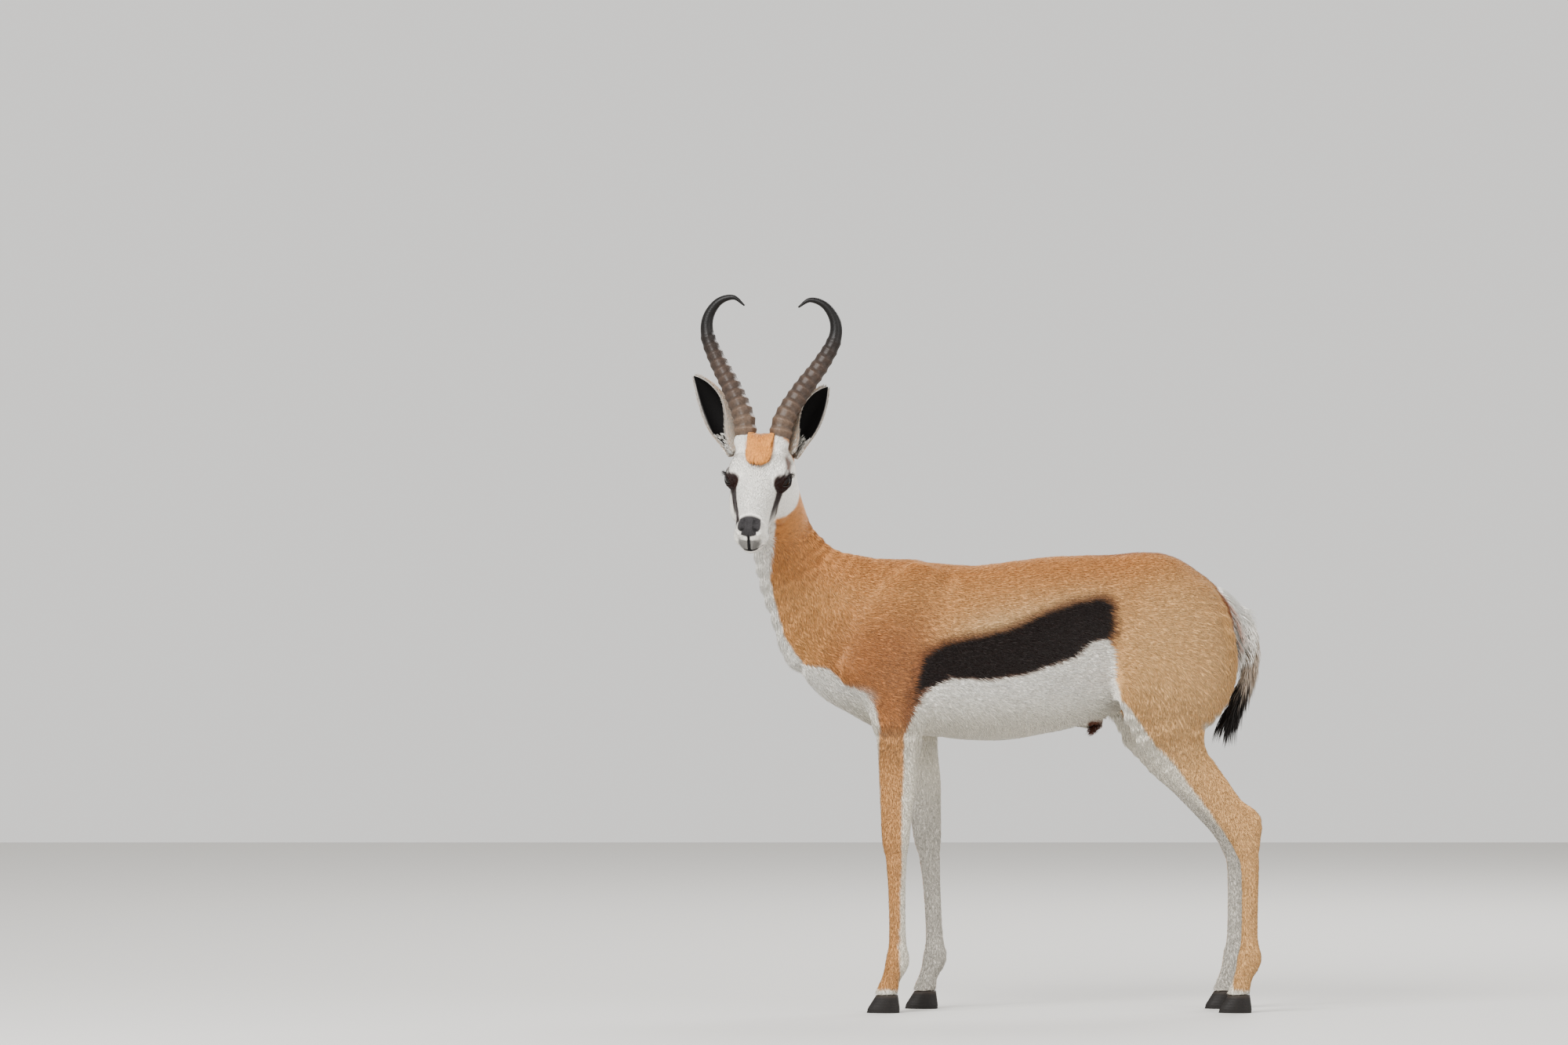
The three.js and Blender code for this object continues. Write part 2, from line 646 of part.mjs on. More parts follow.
// Dewclaws behind the fetlock
function dewclaws(ankle, fetlock) {
  return joined(
    [-1, 1].map((side) => {
      const claw = new THREE.SphereGeometry(1, 7, 5).scale(6.5, 5.5, 10);
      claw.rotateY(-0.5).translate(fetlock[0] + 19, ankle[1] + side * 9.5, fetlock[2] - 12);
      return solidOf(claw);
    }),
  );
}

const legs = [
  { name: "leg_fore_left", side: -1, rows: forelegRows, shift: () => 0, block: forelegBlock },
  { name: "leg_fore_right", side: 1, rows: forelegRows, shift: farForeShift, block: forelegBlock },
  { name: "leg_hind_left", side: -1, rows: hindlegRows, shift: () => 0, block: hindlegBlock },
  { name: "leg_hind_right", side: 1, rows: hindlegRows, shift: farHindShift, block: hindlegBlock },
];

const tan = ["#c89a68", 0.85];
const white = ["#e9e2d2", 0.85];
const horny = ["#3a322e", 0.55];
const dark = ["#1c1816", 0.15];
const group = new THREE.Group();

// The torso is parted from the neck and the legs, and keeps a socket for the root of the tail
const torsoSurface = surfaceOf(bodyGap, [-352, -162, 418], [486, 162, 830], [31, 27, 27]);
// White locks that fringe the rump beside the tail, and a few under the sheath
const fringeRows = 5;
const fringe = [];
for (const side of [-1, 1])
  for (let i = 0; i < fringeRows; i++) {
    const t = i / (fringeRows - 1);
    const z = THREE.MathUtils.lerp(704, 566, t);
    const y = side * (22 + 15 * Math.sin(Math.PI * (0.15 + 0.7 * t)) + draw(-2, 2));
    const x = surfaceBehind(y, z);
    const root = new THREE.Vector3(x - 14, y * 0.96, z + 9);
    const bend = new THREE.Vector3(x + 5, y * 1.04, z - 6);
    const tip = new THREE.Vector3(x + draw(7, 13), y * 1.1, z - draw(28, 36));
    fringe.push(lockOf([root, bend, tip], new THREE.Vector3(0.9, side * 0.3, 0.3), draw(22, 26), 8));
  }
for (const [x, y, reach] of [[192, -5, 20], [202, 4, 25], [211, -4, 20]]) {
  const root = new THREE.Vector3(x + 4, y * 0.6, 500);
  const tip = new THREE.Vector3(x - 9, y, 486 - reach);
  const bend = root.clone().lerp(tip, 0.5).add(new THREE.Vector3(3, 0, 0));
  fringe.push(lockOf([root, bend, tip], new THREE.Vector3(0.3, Math.sign(y), 0), 9, 5));
}
let torso = joined([torsoSurface, ...fringe]).subtract(neckBlock(gap)).subtract(tailShaft(gap));
for (const leg of legs) torso = torso.subtract(leg.block(leg.side, gap));
group.add(nodeOf("torso", torso, tan));

// How far back the rump reaches beside the tail, at a place across and a height
function surfaceBehind(y, z) {
  let x = 480;
  while (x > 300 && bodyGap(x, y, z) > 0) x -= 1;
  return x;
}

const neckSurface = surfaceOf(wholeGap, [-455, -152, 556], [-120, 110, 1010], [18, 18, 21]);
group.add(nodeOf("neck", neckSurface.intersect(neckBlock(0)).subtract(headBlock(gap)), tan));

// A level slice of the fore or the hind quarters
function seamBlock(hind, low, high) {
  const [from, to] = hind ? [150, 560] : [-260, 60];
  return blockOf([[from, low], [to, low], [to, high], [from, high]], -legReach, legReach);
}

// Legs, each down to the top of its hooves
for (const { name, side, rows, shift, block } of legs) {
  const hind = rows === hindlegRows;
  const upper = hind
    ? surfaceOf(bodyGap, [184, side < 0 ? -152 : -17, 396], [490, side < 0 ? 17 : 152, 740], [24, 22, 25])
    : surfaceOf(bodyGap, [-220, side < 0 ? -134 : -6, 402], [-20, side < 0 ? 6 : 134, 562], [15, 14, 18]);
  const lower = surfaceOf(
    bodyGap,
    hind ? [250, side < 0 ? -108 : 18, 8] : [-190, side < 0 ? -108 : 18, 8],
    hind ? [500, side < 0 ? -18 : 108, 480] : [-10, side < 0 ? -18 : 108, 480],
    hind ? [12.5, 11.5, 23] : [12, 11, 29],
  );
  const seam = 440;
  const above = seamBlock(hind, seam, 760);
  const cut = seam - gap;
  const below = seamBlock(hind, 0, cut);
  let leg = upper.intersect(above).intersect(block(side, 0));
  group.add(nodeOf(name + "_upper", leg, tan));
  leg = lower.intersect(below).intersect(block(side, 0));
  const foot = rows[rows.length - 1];
  const ankle = [foot[0] + shift(foot[2]), side * foot[1], foot[2]];
  const knuckle = rows[rows.length - 3];
  const fetlock = [knuckle[0] + shift(knuckle[2]), side * knuckle[1], knuckle[2]];
  const ground = blockOf([[-600, -50], [600, -50], [600, hoofHeight], [-600, hoofHeight]], -200, 200, gap);
  leg = leg.add(dewclaws(ankle, fetlock)).subtract(ground);
  group.add(nodeOf(name + "_lower", leg, tan));
  for (const [place, inward] of [["outer", side], ["inner", -side]])
    group.add(nodeOf(name.replace("leg", "hoof") + "_" + place, clawOf(ankle, inward), horny));
}

// The head keeps sockets for the eyes, horns and ears
const headSurface = surfaceOf(wholeGap, [-451, -233, 749], [-281, 12, 1012], [11, 11, 11]);
let head = joined([headSurface, ...foreheadLocks()]).intersect(headBlock(0));
for (const [side, name] of [[1, "left"], [-1, "right"]]) {
  const eyeCentre = headPoint(side * eyePlace[0], eyePlace[1], eyePlace[2]);
  const ball = (r) => solidOf(new THREE.SphereGeometry(r, 12, 9)).translate(eyeCentre.toArray());
  head = head.subtract(ball(eyeRadius + gap)).subtract(lidOpening(side, eyeCentre));
  head = head.subtract(hornOf(side, gap)).subtract(earOf(side, gap));
  group.add(nodeOf("eye_" + name, ball(eyeRadius), dark));
  group.add(nodeOf("horn_" + name, hornOf(side), horny));
  group.add(nodeOf("ear_" + name, earOf(side), ["#8a8580", 0.85]));
}
head = head.subtract(mouthOpening());
for (const side of [-1, 1]) head = head.subtract(nostril(side));
group.add(nodeOf("head", head, white));

// The opening between the lips: a thin slot that follows the muzzle and leaves a core behind it
function mouthOpening() {
  const outline = [
    [70, 70], [70, 150], [-70, 150], [-70, 70], [-24, 70], [-21, 84], [-17, 98], [-11, 108], [0, 113],
    [11, 108], [17, 98], [21, 84], [24, 70],
  ]; // sideways, along the face
  const level = (along) => -37 - 0.07 * (118 - along);
  const rings = [-1, 1].map((way) =>
    outline.map(([s, a]) => headPoint(s, level(a) + (way * mouthWidth) / 2, a)),
  );
  return prismOf(rings, outline.map(([s, a]) => new THREE.Vector2(s, a)));
}

// A nostril: a slanted slit beside the nose pad
function nostril(side) {
  const slit = new THREE.SphereGeometry(1, 8, 6).scale(3, 7, 6);
  slit.rotateZ(side * -0.75).translate(side * 12.5, 4, 128);
  return solidOf(slit.applyMatrix4(faceFrame));
}

// The cushion of hair on the forehead: three rows of flat locks that lie down towards the eyes
function foreheadLocks() {
  const made = [];
  const up = headPoint(0, 1, 0).sub(eyeMiddle);
  for (const [start, count, half] of [[-40, 3, 15], [-60, 3, 17], [-78, 2, 9]])
    for (let i = 0; i < count; i++) {
      const s = half * ((2 * i) / (count - 1) - 1) + draw(-1.5, 1.5);
      const reach = draw(38, 43) * (1 - 0.12 * Math.abs(s / half));
      const root = headPoint(s * 0.8, foreheadLine(s * 0.8, start) - 4, start);
      const bend = headPoint(s, foreheadLine(s, start + reach * 0.5) + 3.6, start + reach * 0.5);
      const tip = headPoint(s * 1.1, foreheadLine(s * 1.1, start + reach) - 0.5, start + reach);
      made.push(lockOf([root, bend, tip], up, draw(19, 22), 9));
    }
  return made;
}

// The height of the forehead at a place across and along the face
function foreheadLine(sideways, along) {
  let up = 60;
  while (up > 0 && headGapLocal(sideways, up, along) > 0) up -= 0.5;
  return up;
}

// The almond-shaped opening between the lids, drawn outwards from the middle of the eye
function lidOpening(side, centre) {
  const outward = headPoint(side * 0.86, 0.22, 0.46).sub(eyeMiddle).normalize();
  const along = headPoint(side * -0.35, 0.1, 0.93).sub(eyeMiddle);
  along.addScaledVector(outward, -along.dot(outward)).normalize();
  const across = outward.clone().cross(along);
  const [long, high] = [12.5, 7.5];
  const ring = (distance, size) =>
    Array.from({ length: 12 }, (unused, i) => {
      const turn = (Math.PI * 2 * i) / 12;
      const u = Math.cos(turn) * long * size;
      const v = Math.sin(turn) * high * size * (1 - 0.18 * Math.cos(turn));
      return centre.clone().addScaledVector(outward, distance).addScaledVector(along, u).addScaledVector(across, v);
    });
  return loftOf([ring(4, 0.7), ring(14, 0.95), ring(34, 1.5)]);
}

// The tail and its tuft
let tail = tailShaft();
const tailEnd = new THREE.Vector3(446, -5, 530);
const tuftLocks = 9;
for (let i = 0; i < tuftLocks; i++) {
  const turn = (2 * Math.PI * i) / tuftLocks;
  const spread = draw(10, 20);
  const out = new THREE.Vector3(Math.cos(turn) * spread - 4, Math.sin(turn) * spread * 0.5, 0);
  const start = tailEnd.clone().addScaledVector(out, 0.12).add(new THREE.Vector3(0, 0, draw(-12, 12)));
  const end = tailEnd.clone().add(out).add(new THREE.Vector3(draw(-8, 4), 0, -draw(62, 96)));
  const bend = start.clone().lerp(end, 0.5).addScaledVector(out, 0.5);
  tail = tail.add(lockOf([start, bend, end], out.clone().normalize(), draw(11, 15), draw(4, 6)));
}
group.add(nodeOf("tail", tail, white));

// The whole stands with the middle of its outline over the origin
group.updateMatrixWorld(true);
const bounds = new THREE.Box3().setFromObject(group, true);
const middle = bounds.getCenter(new THREE.Vector3());
group.position.set(-middle.x, -middle.y, -bounds.min.z);

export default group;
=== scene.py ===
# A springbok ram as a still, life-size model: skin, coat, horns, ears, eyes, hooves and tail
import bpy
import bmesh
import math
import time
import numpy as np
from mathutils import Euler, Matrix, Vector


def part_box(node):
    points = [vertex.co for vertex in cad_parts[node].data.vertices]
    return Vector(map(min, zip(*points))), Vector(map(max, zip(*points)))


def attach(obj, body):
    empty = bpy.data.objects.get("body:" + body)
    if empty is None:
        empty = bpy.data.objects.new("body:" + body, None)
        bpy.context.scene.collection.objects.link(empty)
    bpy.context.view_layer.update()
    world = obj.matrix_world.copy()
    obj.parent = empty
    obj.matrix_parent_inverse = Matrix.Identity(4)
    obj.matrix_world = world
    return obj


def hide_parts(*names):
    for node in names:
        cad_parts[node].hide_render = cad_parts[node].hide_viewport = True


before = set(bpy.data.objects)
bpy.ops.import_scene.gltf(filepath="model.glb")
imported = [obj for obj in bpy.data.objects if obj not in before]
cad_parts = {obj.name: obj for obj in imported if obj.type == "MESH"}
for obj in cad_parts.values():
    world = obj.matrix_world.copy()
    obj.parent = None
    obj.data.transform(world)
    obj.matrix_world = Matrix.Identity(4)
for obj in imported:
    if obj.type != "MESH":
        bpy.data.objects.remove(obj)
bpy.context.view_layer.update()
startTime = time.time()
draws = np.random.default_rng(11)


def report(stage):
    print(f"{stage}: {time.time() - startTime:.1f} s", flush=True)


# Places are worked out in the model's own millimetres, as the solids were, and then put in the frame
mm = 0.001
headPose = {"turn": -8, "roll": 2, "pitch": 43, "eyes": (-367, -100, 905)}
turned = Euler((0, math.radians(headPose["roll"]), math.radians(headPose["turn"])), "XYZ").to_matrix()
nod = math.radians(headPose["pitch"])
faceTurn = np.array(turned @ Matrix((
    (1, 0, 0),
    (0, -math.cos(nod), -math.sin(nod)),
    (0, math.sin(nod), -math.cos(nod)),
)))  # columns: sideways to its left, up out of the face, along it to the nose
uprightTurn = np.array(turned)
eyeMiddle = np.array(headPose["eyes"], float)
eyePlace = (39, 1, 0)  # sideways, up and along, from the middle between the eyes
noseUp = 12
eyeRadius = 16.5
lidThickness = 4.6
blend = 26  # how far two masses run into one another
headSides = {"left": 1, "right": -1}  # sideways on the head

eyesInFrame = sum(np.array(corner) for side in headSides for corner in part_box("eye_" + side)) / 4
modelShift = eyesInFrame - (eyeMiddle + faceTurn @ np.array([0, eyePlace[1], 0])) * mm


def toFrame(points):
    return np.asarray(points, float) * mm + modelShift


# The head's own frame: sideways (s), up out of the face (u) and along it to the nose (l)
def toHead(points):
    return (np.asarray(points, float) - eyeMiddle) @ faceTurn


def fromHead(points):
    return np.asarray(points, float) @ faceTurn.T + eyeMiddle


# The same head without its nod, for the horns and ears, which stand up from it
def fromUpright(points):
    return np.asarray(points, float) @ uprightTurn.T + eyeMiddle


def unit(vectors):
    return vectors / np.maximum(np.linalg.norm(vectors, axis=-1, keepdims=True), 1e-9)


# From 0 at one value to 1 at the other, with soft ends
def ease(low, high, value):
    t = np.clip((value - low) / (high - low), 0, 1)
    return t * t * (3 - 2 * t)


# The form of the flesh, as in the solids: rounded masses that run into one another
trunkRows = np.array([
    [-296, 668, 584, 32, 0.5], [-262, 726, 537, 62, 0.5], [-218, 754, 507, 86, 0.48],
    [-172, 760, 481, 99, 0.46], [-118, 768, 470, 107, 0.45], [-62, 763, 463, 115, 0.44],
    [0, 759, 458, 122, 0.44], [60, 765, 459, 125, 0.44], [120, 773, 469, 122, 0.45],
    [180, 776, 483, 112, 0.5], [232, 777, 500, 101, 0.56], [290, 781, 530, 95, 0.6],
    [335, 774, 550, 90, 0.6], [380, 748, 566, 79, 0.6], [420, 716, 580, 60, 0.55], [446, 690, 600, 38, 0.5],
], float)  # x, back line, belly line, half width, height of the widest point as a share
neckRows = [
    [-178, 0, 640, 108, 80], [-238, 0, 674, 103, 66], [-289, -2, 729, 80, 55], [-320, -8, 788, 59, 48],
    [-337, -17, 845, 50, 46], [-351, -32, 895, 49, 48], [-357, -46, 925, 42, 46],
]  # x, from the midline, z, half depth, half width
shoulderRows = [[-84, 48, 742, 32, 16], [-112, 74, 690, 52, 30], [-150, 84, 630, 58, 34],
                [-178, 82, 582, 44, 36]]
upperArmRows = [[-178, 80, 590, 42, 34], [-140, 78, 540, 50, 34], [-128, 73, 500, 50, 33]]
forelegRows = [
    [-128, 72, 505, 50, 33], [-128, 68, 470, 43, 29], [-130, 65, 430, 36, 25], [-131, 63, 385, 32, 22],
    [-133, 62, 335, 27.5, 20], [-134, 62, 290, 24, 22], [-133, 62, 262, 19, 18], [-132, 62, 200, 15.5, 14.5],
    [-131, 62, 122, 15.5, 15], [-131, 62, 88, 21, 19], [-141, 62, 60, 16.5, 17.5], [-150, 62, 30, 20, 19],
]
thighRows = [
    [352, 58, 700, 62, 34], [350, 66, 645, 94, 44], [342, 70, 580, 104, 44], [328, 74, 522, 88, 40],
    [329, 74, 478, 63, 35],
]
hindlegRows = [
    [329, 74, 478, 63, 35], [352, 72, 432, 46, 28], [383, 69, 393, 36, 22], [415, 66, 352, 30, 19],
    [446, 64, 314, 27, 19], [460, 63, 278, 21, 17], [466, 62, 240, 16, 14], [465, 62, 130, 15, 14],
    [465, 62, 92, 21.5, 18.5], [455, 62, 62, 16.5, 17.5], [446, 62, 30, 20, 19],
]
tendonRows = [[388, 70, 420, 17, 13], [419, 67, 388, 11, 9], [444, 66, 355, 10, 8.5], [471, 64, 327, 15, 12],
              [469, 63, 286, 14, 12]]
headRows = np.array([
    [-106, -6, -52, 30, 0.5], [-88, 18, -72, 44, 0.5], [-60, 31, -82, 49, 0.55], [-30, 34, -86, 49, 0.58],
    [0, 31, -84, 46, 0.58], [25, 27, -77, 41, 0.52], [50, 24, -66, 35, 0.5], [75, 22, -57, 30, 0.5],
    [100, 20, -53, 27, 0.5], [116, 13, -52, 24, 0.48], [126, 2, -44, 16, 0.5],
], float)  # along, top, underside, half width, height of the widest point as a share
headMasses = [[34, -50, 4, 19, 32, 44], [32, 15, -16, 17, 12, 22], [27, 22, -66, 21, 17, 24],
              [12, 1, 117, 11, 14, 13], [14, -22, 108, 15, 13, 20]]  # place and radii, on both sides
middleMasses = [[0, -44, 104, 17, 13, 19], [0, 3, 120, 17, 14, 11]]
sheathMass = [196, 0, 492, 26, 13, 13]
endRadii = {"trunk": 24, "head": 12}
softness = {"sides": 12, "middle": 9, "eyes": 8}  # over these widths the head's masses run together
fleshFoot = 29  # the claws stand below this
farForeBack = 68  # the right forefoot stands this far behind the left one
farHindAhead = 20


# How far the right legs are moved along the body, at a height
def farFore(z):
    return farForeBack * (1 - np.exp(-np.maximum(540 - z, 0) / 150))


def farHind(z):
    return -farHindAhead * np.clip((640 - z) / 120, 0, 1)


def noShift(z):
    return 0 * z


# Distances to forms are less than zero inside them, and two forms run into one another over a width
def softUnion(a, b, width):
    near = np.maximum(width - np.abs(a - b), 0) / width
    return np.minimum(a, b) - near * near * width / 4


def ellipsoidGap(u, v, w, a, b, c):
    ratio = np.sqrt((u / a) ** 2 + (v / b) ** 2 + (w / c) ** 2)
    slope = np.sqrt((u / a ** 2) ** 2 + (v / b ** 2) ** 2 + (w / c ** 2) ** 2)
    return np.where(slope > 1e-9, ratio * (ratio - 1) / np.maximum(slope, 1e-9), -1.0 * np.minimum(a, b))


# A table's values between its rows, on a smooth curve
def rowsAt(rows, places):
    s = np.clip(places, rows[0, 0], rows[-1, 0])
    i = np.clip(np.searchsorted(rows[:, 0], s, "left") - 1, 0, len(rows) - 2)
    before, start, end = rows[np.maximum(i - 1, 0)], rows[i], rows[i + 1]
    after = rows[np.minimum(i + 2, len(rows) - 1)]
    step = (end[:, 0] - start[:, 0])[:, None]
    t = (s[:, None] - start[:, :1]) / step
    slopeIn = (end - before) / (end[:, :1] - before[:, :1]) * step
    slopeOut = (after - start) / (after[:, :1] - start[:, :1]) * step
    rise = end - start
    bend = slopeIn + slopeOut - 2 * rise
    return start + t * (slopeIn + t * (3 * rise - 2 * slopeIn - slopeOut + t * bend))


# A form with upright egg-shaped sections
def sectionGap(rows, along, across, up, endRadius):
    row = rowsAt(rows, along)
    middle = row[:, 2] + (row[:, 1] - row[:, 2]) * row[:, 4]
    tall = np.where(up > middle, row[:, 1] - middle, middle - row[:, 2])
    beyond = np.maximum(np.maximum(rows[0, 0] - along, along - rows[-1, 0]), 0)
    return ellipsoidGap(across, up - middle, beyond, row[:, 3], tall, endRadius)


# A limb through rows of: x, from the midline, z, half depth, half width
def limbOf(rows, side, shift=noShift):
    rows = np.array(rows, float)
    places = [np.arange(len(rows)), rows[:, 0] + shift(rows[:, 2]), side * rows[:, 1], rows[:, 2:]]
    numbered = np.column_stack(places)
    fine = rowsAt(numbered, np.arange((len(rows) - 1) * 3 + 1) / 3)[:, 1:]
    low = (fine[:, :3] - fine[:, 3:4]).min(0)
    high = (fine[:, :3] + fine[:, 3:4]).max(0)

    def gap(p):
        away = np.maximum(low - p, p - high).max(1)
        result = away.copy()
        near = away <= 2 * blend
        q = p[near]
        least = np.full(len(q), np.inf)
        for start, end in zip(fine[:-1], fine[1:]):
            axis = end[:3] - start[:3]
            long = np.linalg.norm(axis)
            axis = axis / long
            fore = unit(np.cross([0, 1, 0], axis))
            across = np.cross(axis, fore)
            r = q - start[:3]
            along = r @ axis
            t = np.clip(along / long, 0, 1)
            depth = start[3] + (end[3] - start[3]) * t
            width = start[4] + (end[4] - start[4]) * t
            least = np.minimum(least, ellipsoidGap(r @ fore, r @ across, along - t * long, depth, width,
                                                   np.minimum(depth, width)))
        result[near] = least
        return result

    return gap


neck = limbOf(neckRows, 1)
softMasses = []
firmMasses = []
for side, foreShift, hindShift in ((-1, noShift, noShift), (1, farFore, farHind)):
    softMasses += [limbOf(shoulderRows, side), limbOf(upperArmRows, side, foreShift),
                   limbOf(thighRows, side, hindShift)]
    firmMasses += [limbOf(forelegRows, side, foreShift), limbOf(hindlegRows, side, hindShift),
                   limbOf(tendonRows, side, hindShift)]


def headGap(p):
    sideways, up, along = toHead(p).T
    out = np.abs(sideways)
    form = sectionGap(headRows, along, sideways, up, endRadii["head"])
    for s, u, a, *radii in headMasses:
        form = softUnion(form, ellipsoidGap(out - s, up - u, along - a, *radii), softness["sides"])
    for s, u, a, *radii in middleMasses:
        form = softUnion(form, ellipsoidGap(sideways - s, up - u, along - a, *radii), softness["middle"])
    orbit = np.sqrt((out - eyePlace[0]) ** 2 + (up - eyePlace[1]) ** 2 + (along - eyePlace[2]) ** 2)
    return softUnion(form, orbit - (eyeRadius + lidThickness), softness["eyes"])


def bodyGap(p):
    x, y, z = p.T
    form = sectionGap(trunkRows, x, y, z, endRadii["trunk"])
    form = softUnion(form, neck(p), 2 * blend)
    sheathX, sheathY, sheathZ, *radii = sheathMass
    form = softUnion(form, ellipsoidGap(x - sheathX, y - sheathY, z - sheathZ, *radii), blend / 2)
    for mass in softMasses:
        form = softUnion(form, mass(p), blend)
    for mass in firmMasses:
        form = softUnion(form, mass(p), blend / 3)
    form = softUnion(form, headGap(p), blend)
    return np.maximum(form, fleshFoot - z)


def slopeOf(p, value):
    reach = 0.5
    return np.stack([(bodyGap(p + np.eye(3)[k] * reach) - value) / reach for k in range(3)], axis=1)


# Points are moved along the slope until they lie at a depth under the surface
def ontoLevel(p, depth, rounds):
    for _ in range(rounds):
        value = bodyGap(p)
        slope = slopeOf(p, value)
        steep = np.maximum((slope ** 2).sum(1), 0.25)
        step = np.clip((value + depth) / steep, -6, 6)
        p = p - slope * step[:, None]
    return p


# The surface where a grid of values changes sign: one point in each cell, one square for each edge crossed
def netOf(values, low, cell):
    shape = np.array(values.shape)
    cells = tuple(shape - 1)
    total = np.zeros(cells + (3,))
    count = np.zeros(cells)

    def corner(offset):
        return values[tuple(slice(o, o + n) for o, n in zip(offset, cells))]

    for axis in range(3):
        for first in (0, 1):
            for second in (0, 1):
                start = [0, 0, 0]
                start[(axis + 1) % 3], start[(axis + 2) % 3] = first, second
                end = list(start)
                end[axis] = 1
                a, b = corner(start), corner(end)
                crossed = (a < 0) != (b < 0)
                t = np.where(crossed, a / np.where(crossed, a - b, 1), 0)
                count += crossed
                for k in range(3):
                    total[..., k] += crossed * (start[k] + (t if k == axis else 0))
    active = count > 0
    numbers = np.full(cells, -1)
    numbers[active] = np.arange(active.sum())
    points = low + (np.argwhere(active) + total[active] / count[active][:, None]) * cell
    quads = []
    for axis in range(3):
        u, v = (axis + 1) % 3, (axis + 2) % 3
        inside = values < 0
        here = np.take(inside, np.arange(shape[axis] - 1), axis)
        crossed = here != np.take(inside, np.arange(1, shape[axis]), axis)
        at = np.argwhere(crossed)
        at = at[(at[:, u] > 0) & (at[:, v] > 0) & (at[:, u] < shape[u] - 1) & (at[:, v] < shape[v] - 1)]
        stepU, stepV = np.eye(3, dtype=int)[u], np.eye(3, dtype=int)[v]
        moves = (0 * stepU, stepU, stepU + stepV, stepV)
        ring = np.stack([numbers[tuple((at - move).T)] for move in moves], axis=1)
        outward = here[tuple(at.T)]
        ring[~outward] = ring[~outward][:, ::-1]
        quads.append(ring)
    return points, np.concatenate(quads)


skinOptions = {"cell": 6.0, "low": (-455.0, -240.0, 22.0), "high": (492.0, 168.0, 1016.0)}


# The field is worked out on a coarse grid, halved, and worked out again near the surface
def fleshMesh():
    cell = skinOptions["cell"]
    low, high = np.array(skinOptions["low"]), np.array(skinOptions["high"])
    coarse = 2 * cell
    count = np.ceil((high - low) / coarse).astype(int) + 1
    axes = [low[k] + np.arange(count[k]) * coarse for k in range(3)]
    grid = np.stack(np.meshgrid(*axes, indexing="ij"), axis=-1)
    values = bodyGap(grid.reshape(-1, 3)).reshape(count)
    for axis in range(3):
        first = np.take(values, np.arange(values.shape[axis] - 1), axis)
        after = np.take(values, np.arange(1, values.shape[axis]), axis)
        finer = np.stack([first, (first + after) / 2], axis=axis + 1)
        shape = list(first.shape)
        shape[axis] *= 2
        last = np.take(values, [values.shape[axis] - 1], axis)
        values = np.concatenate([finer.reshape(shape), last], axis=axis)
    near = np.argwhere(np.abs(values) < coarse * 1.2)
    values[tuple(near.T)] = bodyGap(low + near * cell)
    return netOf(values, low, cell)


def meshFrom(name, points, faces):
    mesh = bpy.data.meshes.new(name)
    faces = np.asarray(faces)
    size = faces.shape[1]
    mesh.vertices.add(len(points))
    mesh.vertices.foreach_set("co", np.asarray(points, np.float32).ravel())
    mesh.loops.add(faces.size)
    mesh.loops.foreach_set("vertex_index", faces.astype(np.int32).ravel())
    mesh.polygons.add(len(faces))
    mesh.polygons.foreach_set("loop_start", np.arange(0, faces.size, size, dtype=np.int32))
    mesh.polygons.foreach_set("use_smooth", np.ones(len(faces), bool))
    mesh.update(calc_edges=True)
    return mesh


def shown(name, data):
    thing = bpy.data.objects.new(name, data)
    bpy.context.scene.collection.objects.link(thing)
    return thing


def dress(piece, material, slot, *nodes):
    piece.data.materials.append(material)
    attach(piece, "root")
    if nodes:
        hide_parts(*nodes)


def pieceFrom(mesh, material, slot, *nodes):
    dress(shown(mesh.name, mesh), materials[material], slot, *nodes)


def setPoints(mesh, points):
    mesh.vertices.foreach_set("co", points.astype(np.float32).ravel())
    mesh.update()


def readAll(items, key, width, kind=np.float32):
    values = np.empty(len(items) * width, kind)
    items.foreach_get(key, values)
    return values.reshape(-1, width)


def pointsOf(mesh):
    return readAll(mesh.vertices, "co", 3).astype(float)


def normalsOf(mesh):
    return readAll(mesh.vertices, "normal", 3).astype(float)


def paint(mesh, colours):
    layer = mesh.attributes.new("coat", "FLOAT_COLOR", "POINT")
    full = np.concatenate([colours, np.ones((len(colours), 1))], axis=1)
    layer.data.foreach_set("color", full.astype(np.float32).ravel())


# Colours and markings. The outlines follow the side view and are the same on both sides.
def linear(red, green, blue):
    c = np.array([red, green, blue], float) / 255
    return np.where(c <= 0.04045, c / 12.92, ((c + 0.055) / 1.055) ** 2.4)


shades = {name: linear(*levels) for name, levels in {
    "tan": (222, 168, 112), "back": (212, 150, 94), "pale": (238, 204, 156), "shoulder": (190, 130, 86),
    "thigh": (230, 190, 138), "leg": (214, 164, 112), "white": (252, 248, 240), "cream": (234, 226, 206),
    "grey": (176, 172, 168), "band": (34, 18, 13), "bandEdge": (104, 56, 34), "chestnut": (150, 84, 50),
    "stripe": (44, 23, 18), "tuft": (228, 160, 88), "nose": (64, 62, 63), "lip": (38, 36, 38),
    "tail": (178, 158, 138), "tailTuft": (30, 22, 20), "earBack": (176, 168, 158), "earInside": (16, 14, 14),
    "hornFoot": (120, 100, 84), "hornMiddle": (84, 68, 58), "hornTip": (20, 17, 16), "eye": (40, 28, 22),
    "iris": (30, 17, 10), "pupil": (6, 5, 6), "lidRim": (26, 18, 16), "lash": (30, 20, 16),
    "hoof": (34, 30, 28), "hoofTop": (70, 60, 52),
}.items()}
photoScale = {"mm": 1.33, "zeroX": 1243, "groundY": 1290}


def fromPhoto(pairs):
    across, down = np.array(pairs, float).T
    return np.column_stack([across - photoScale["zeroX"], photoScale["groundY"] - down]) * photoScale["mm"]


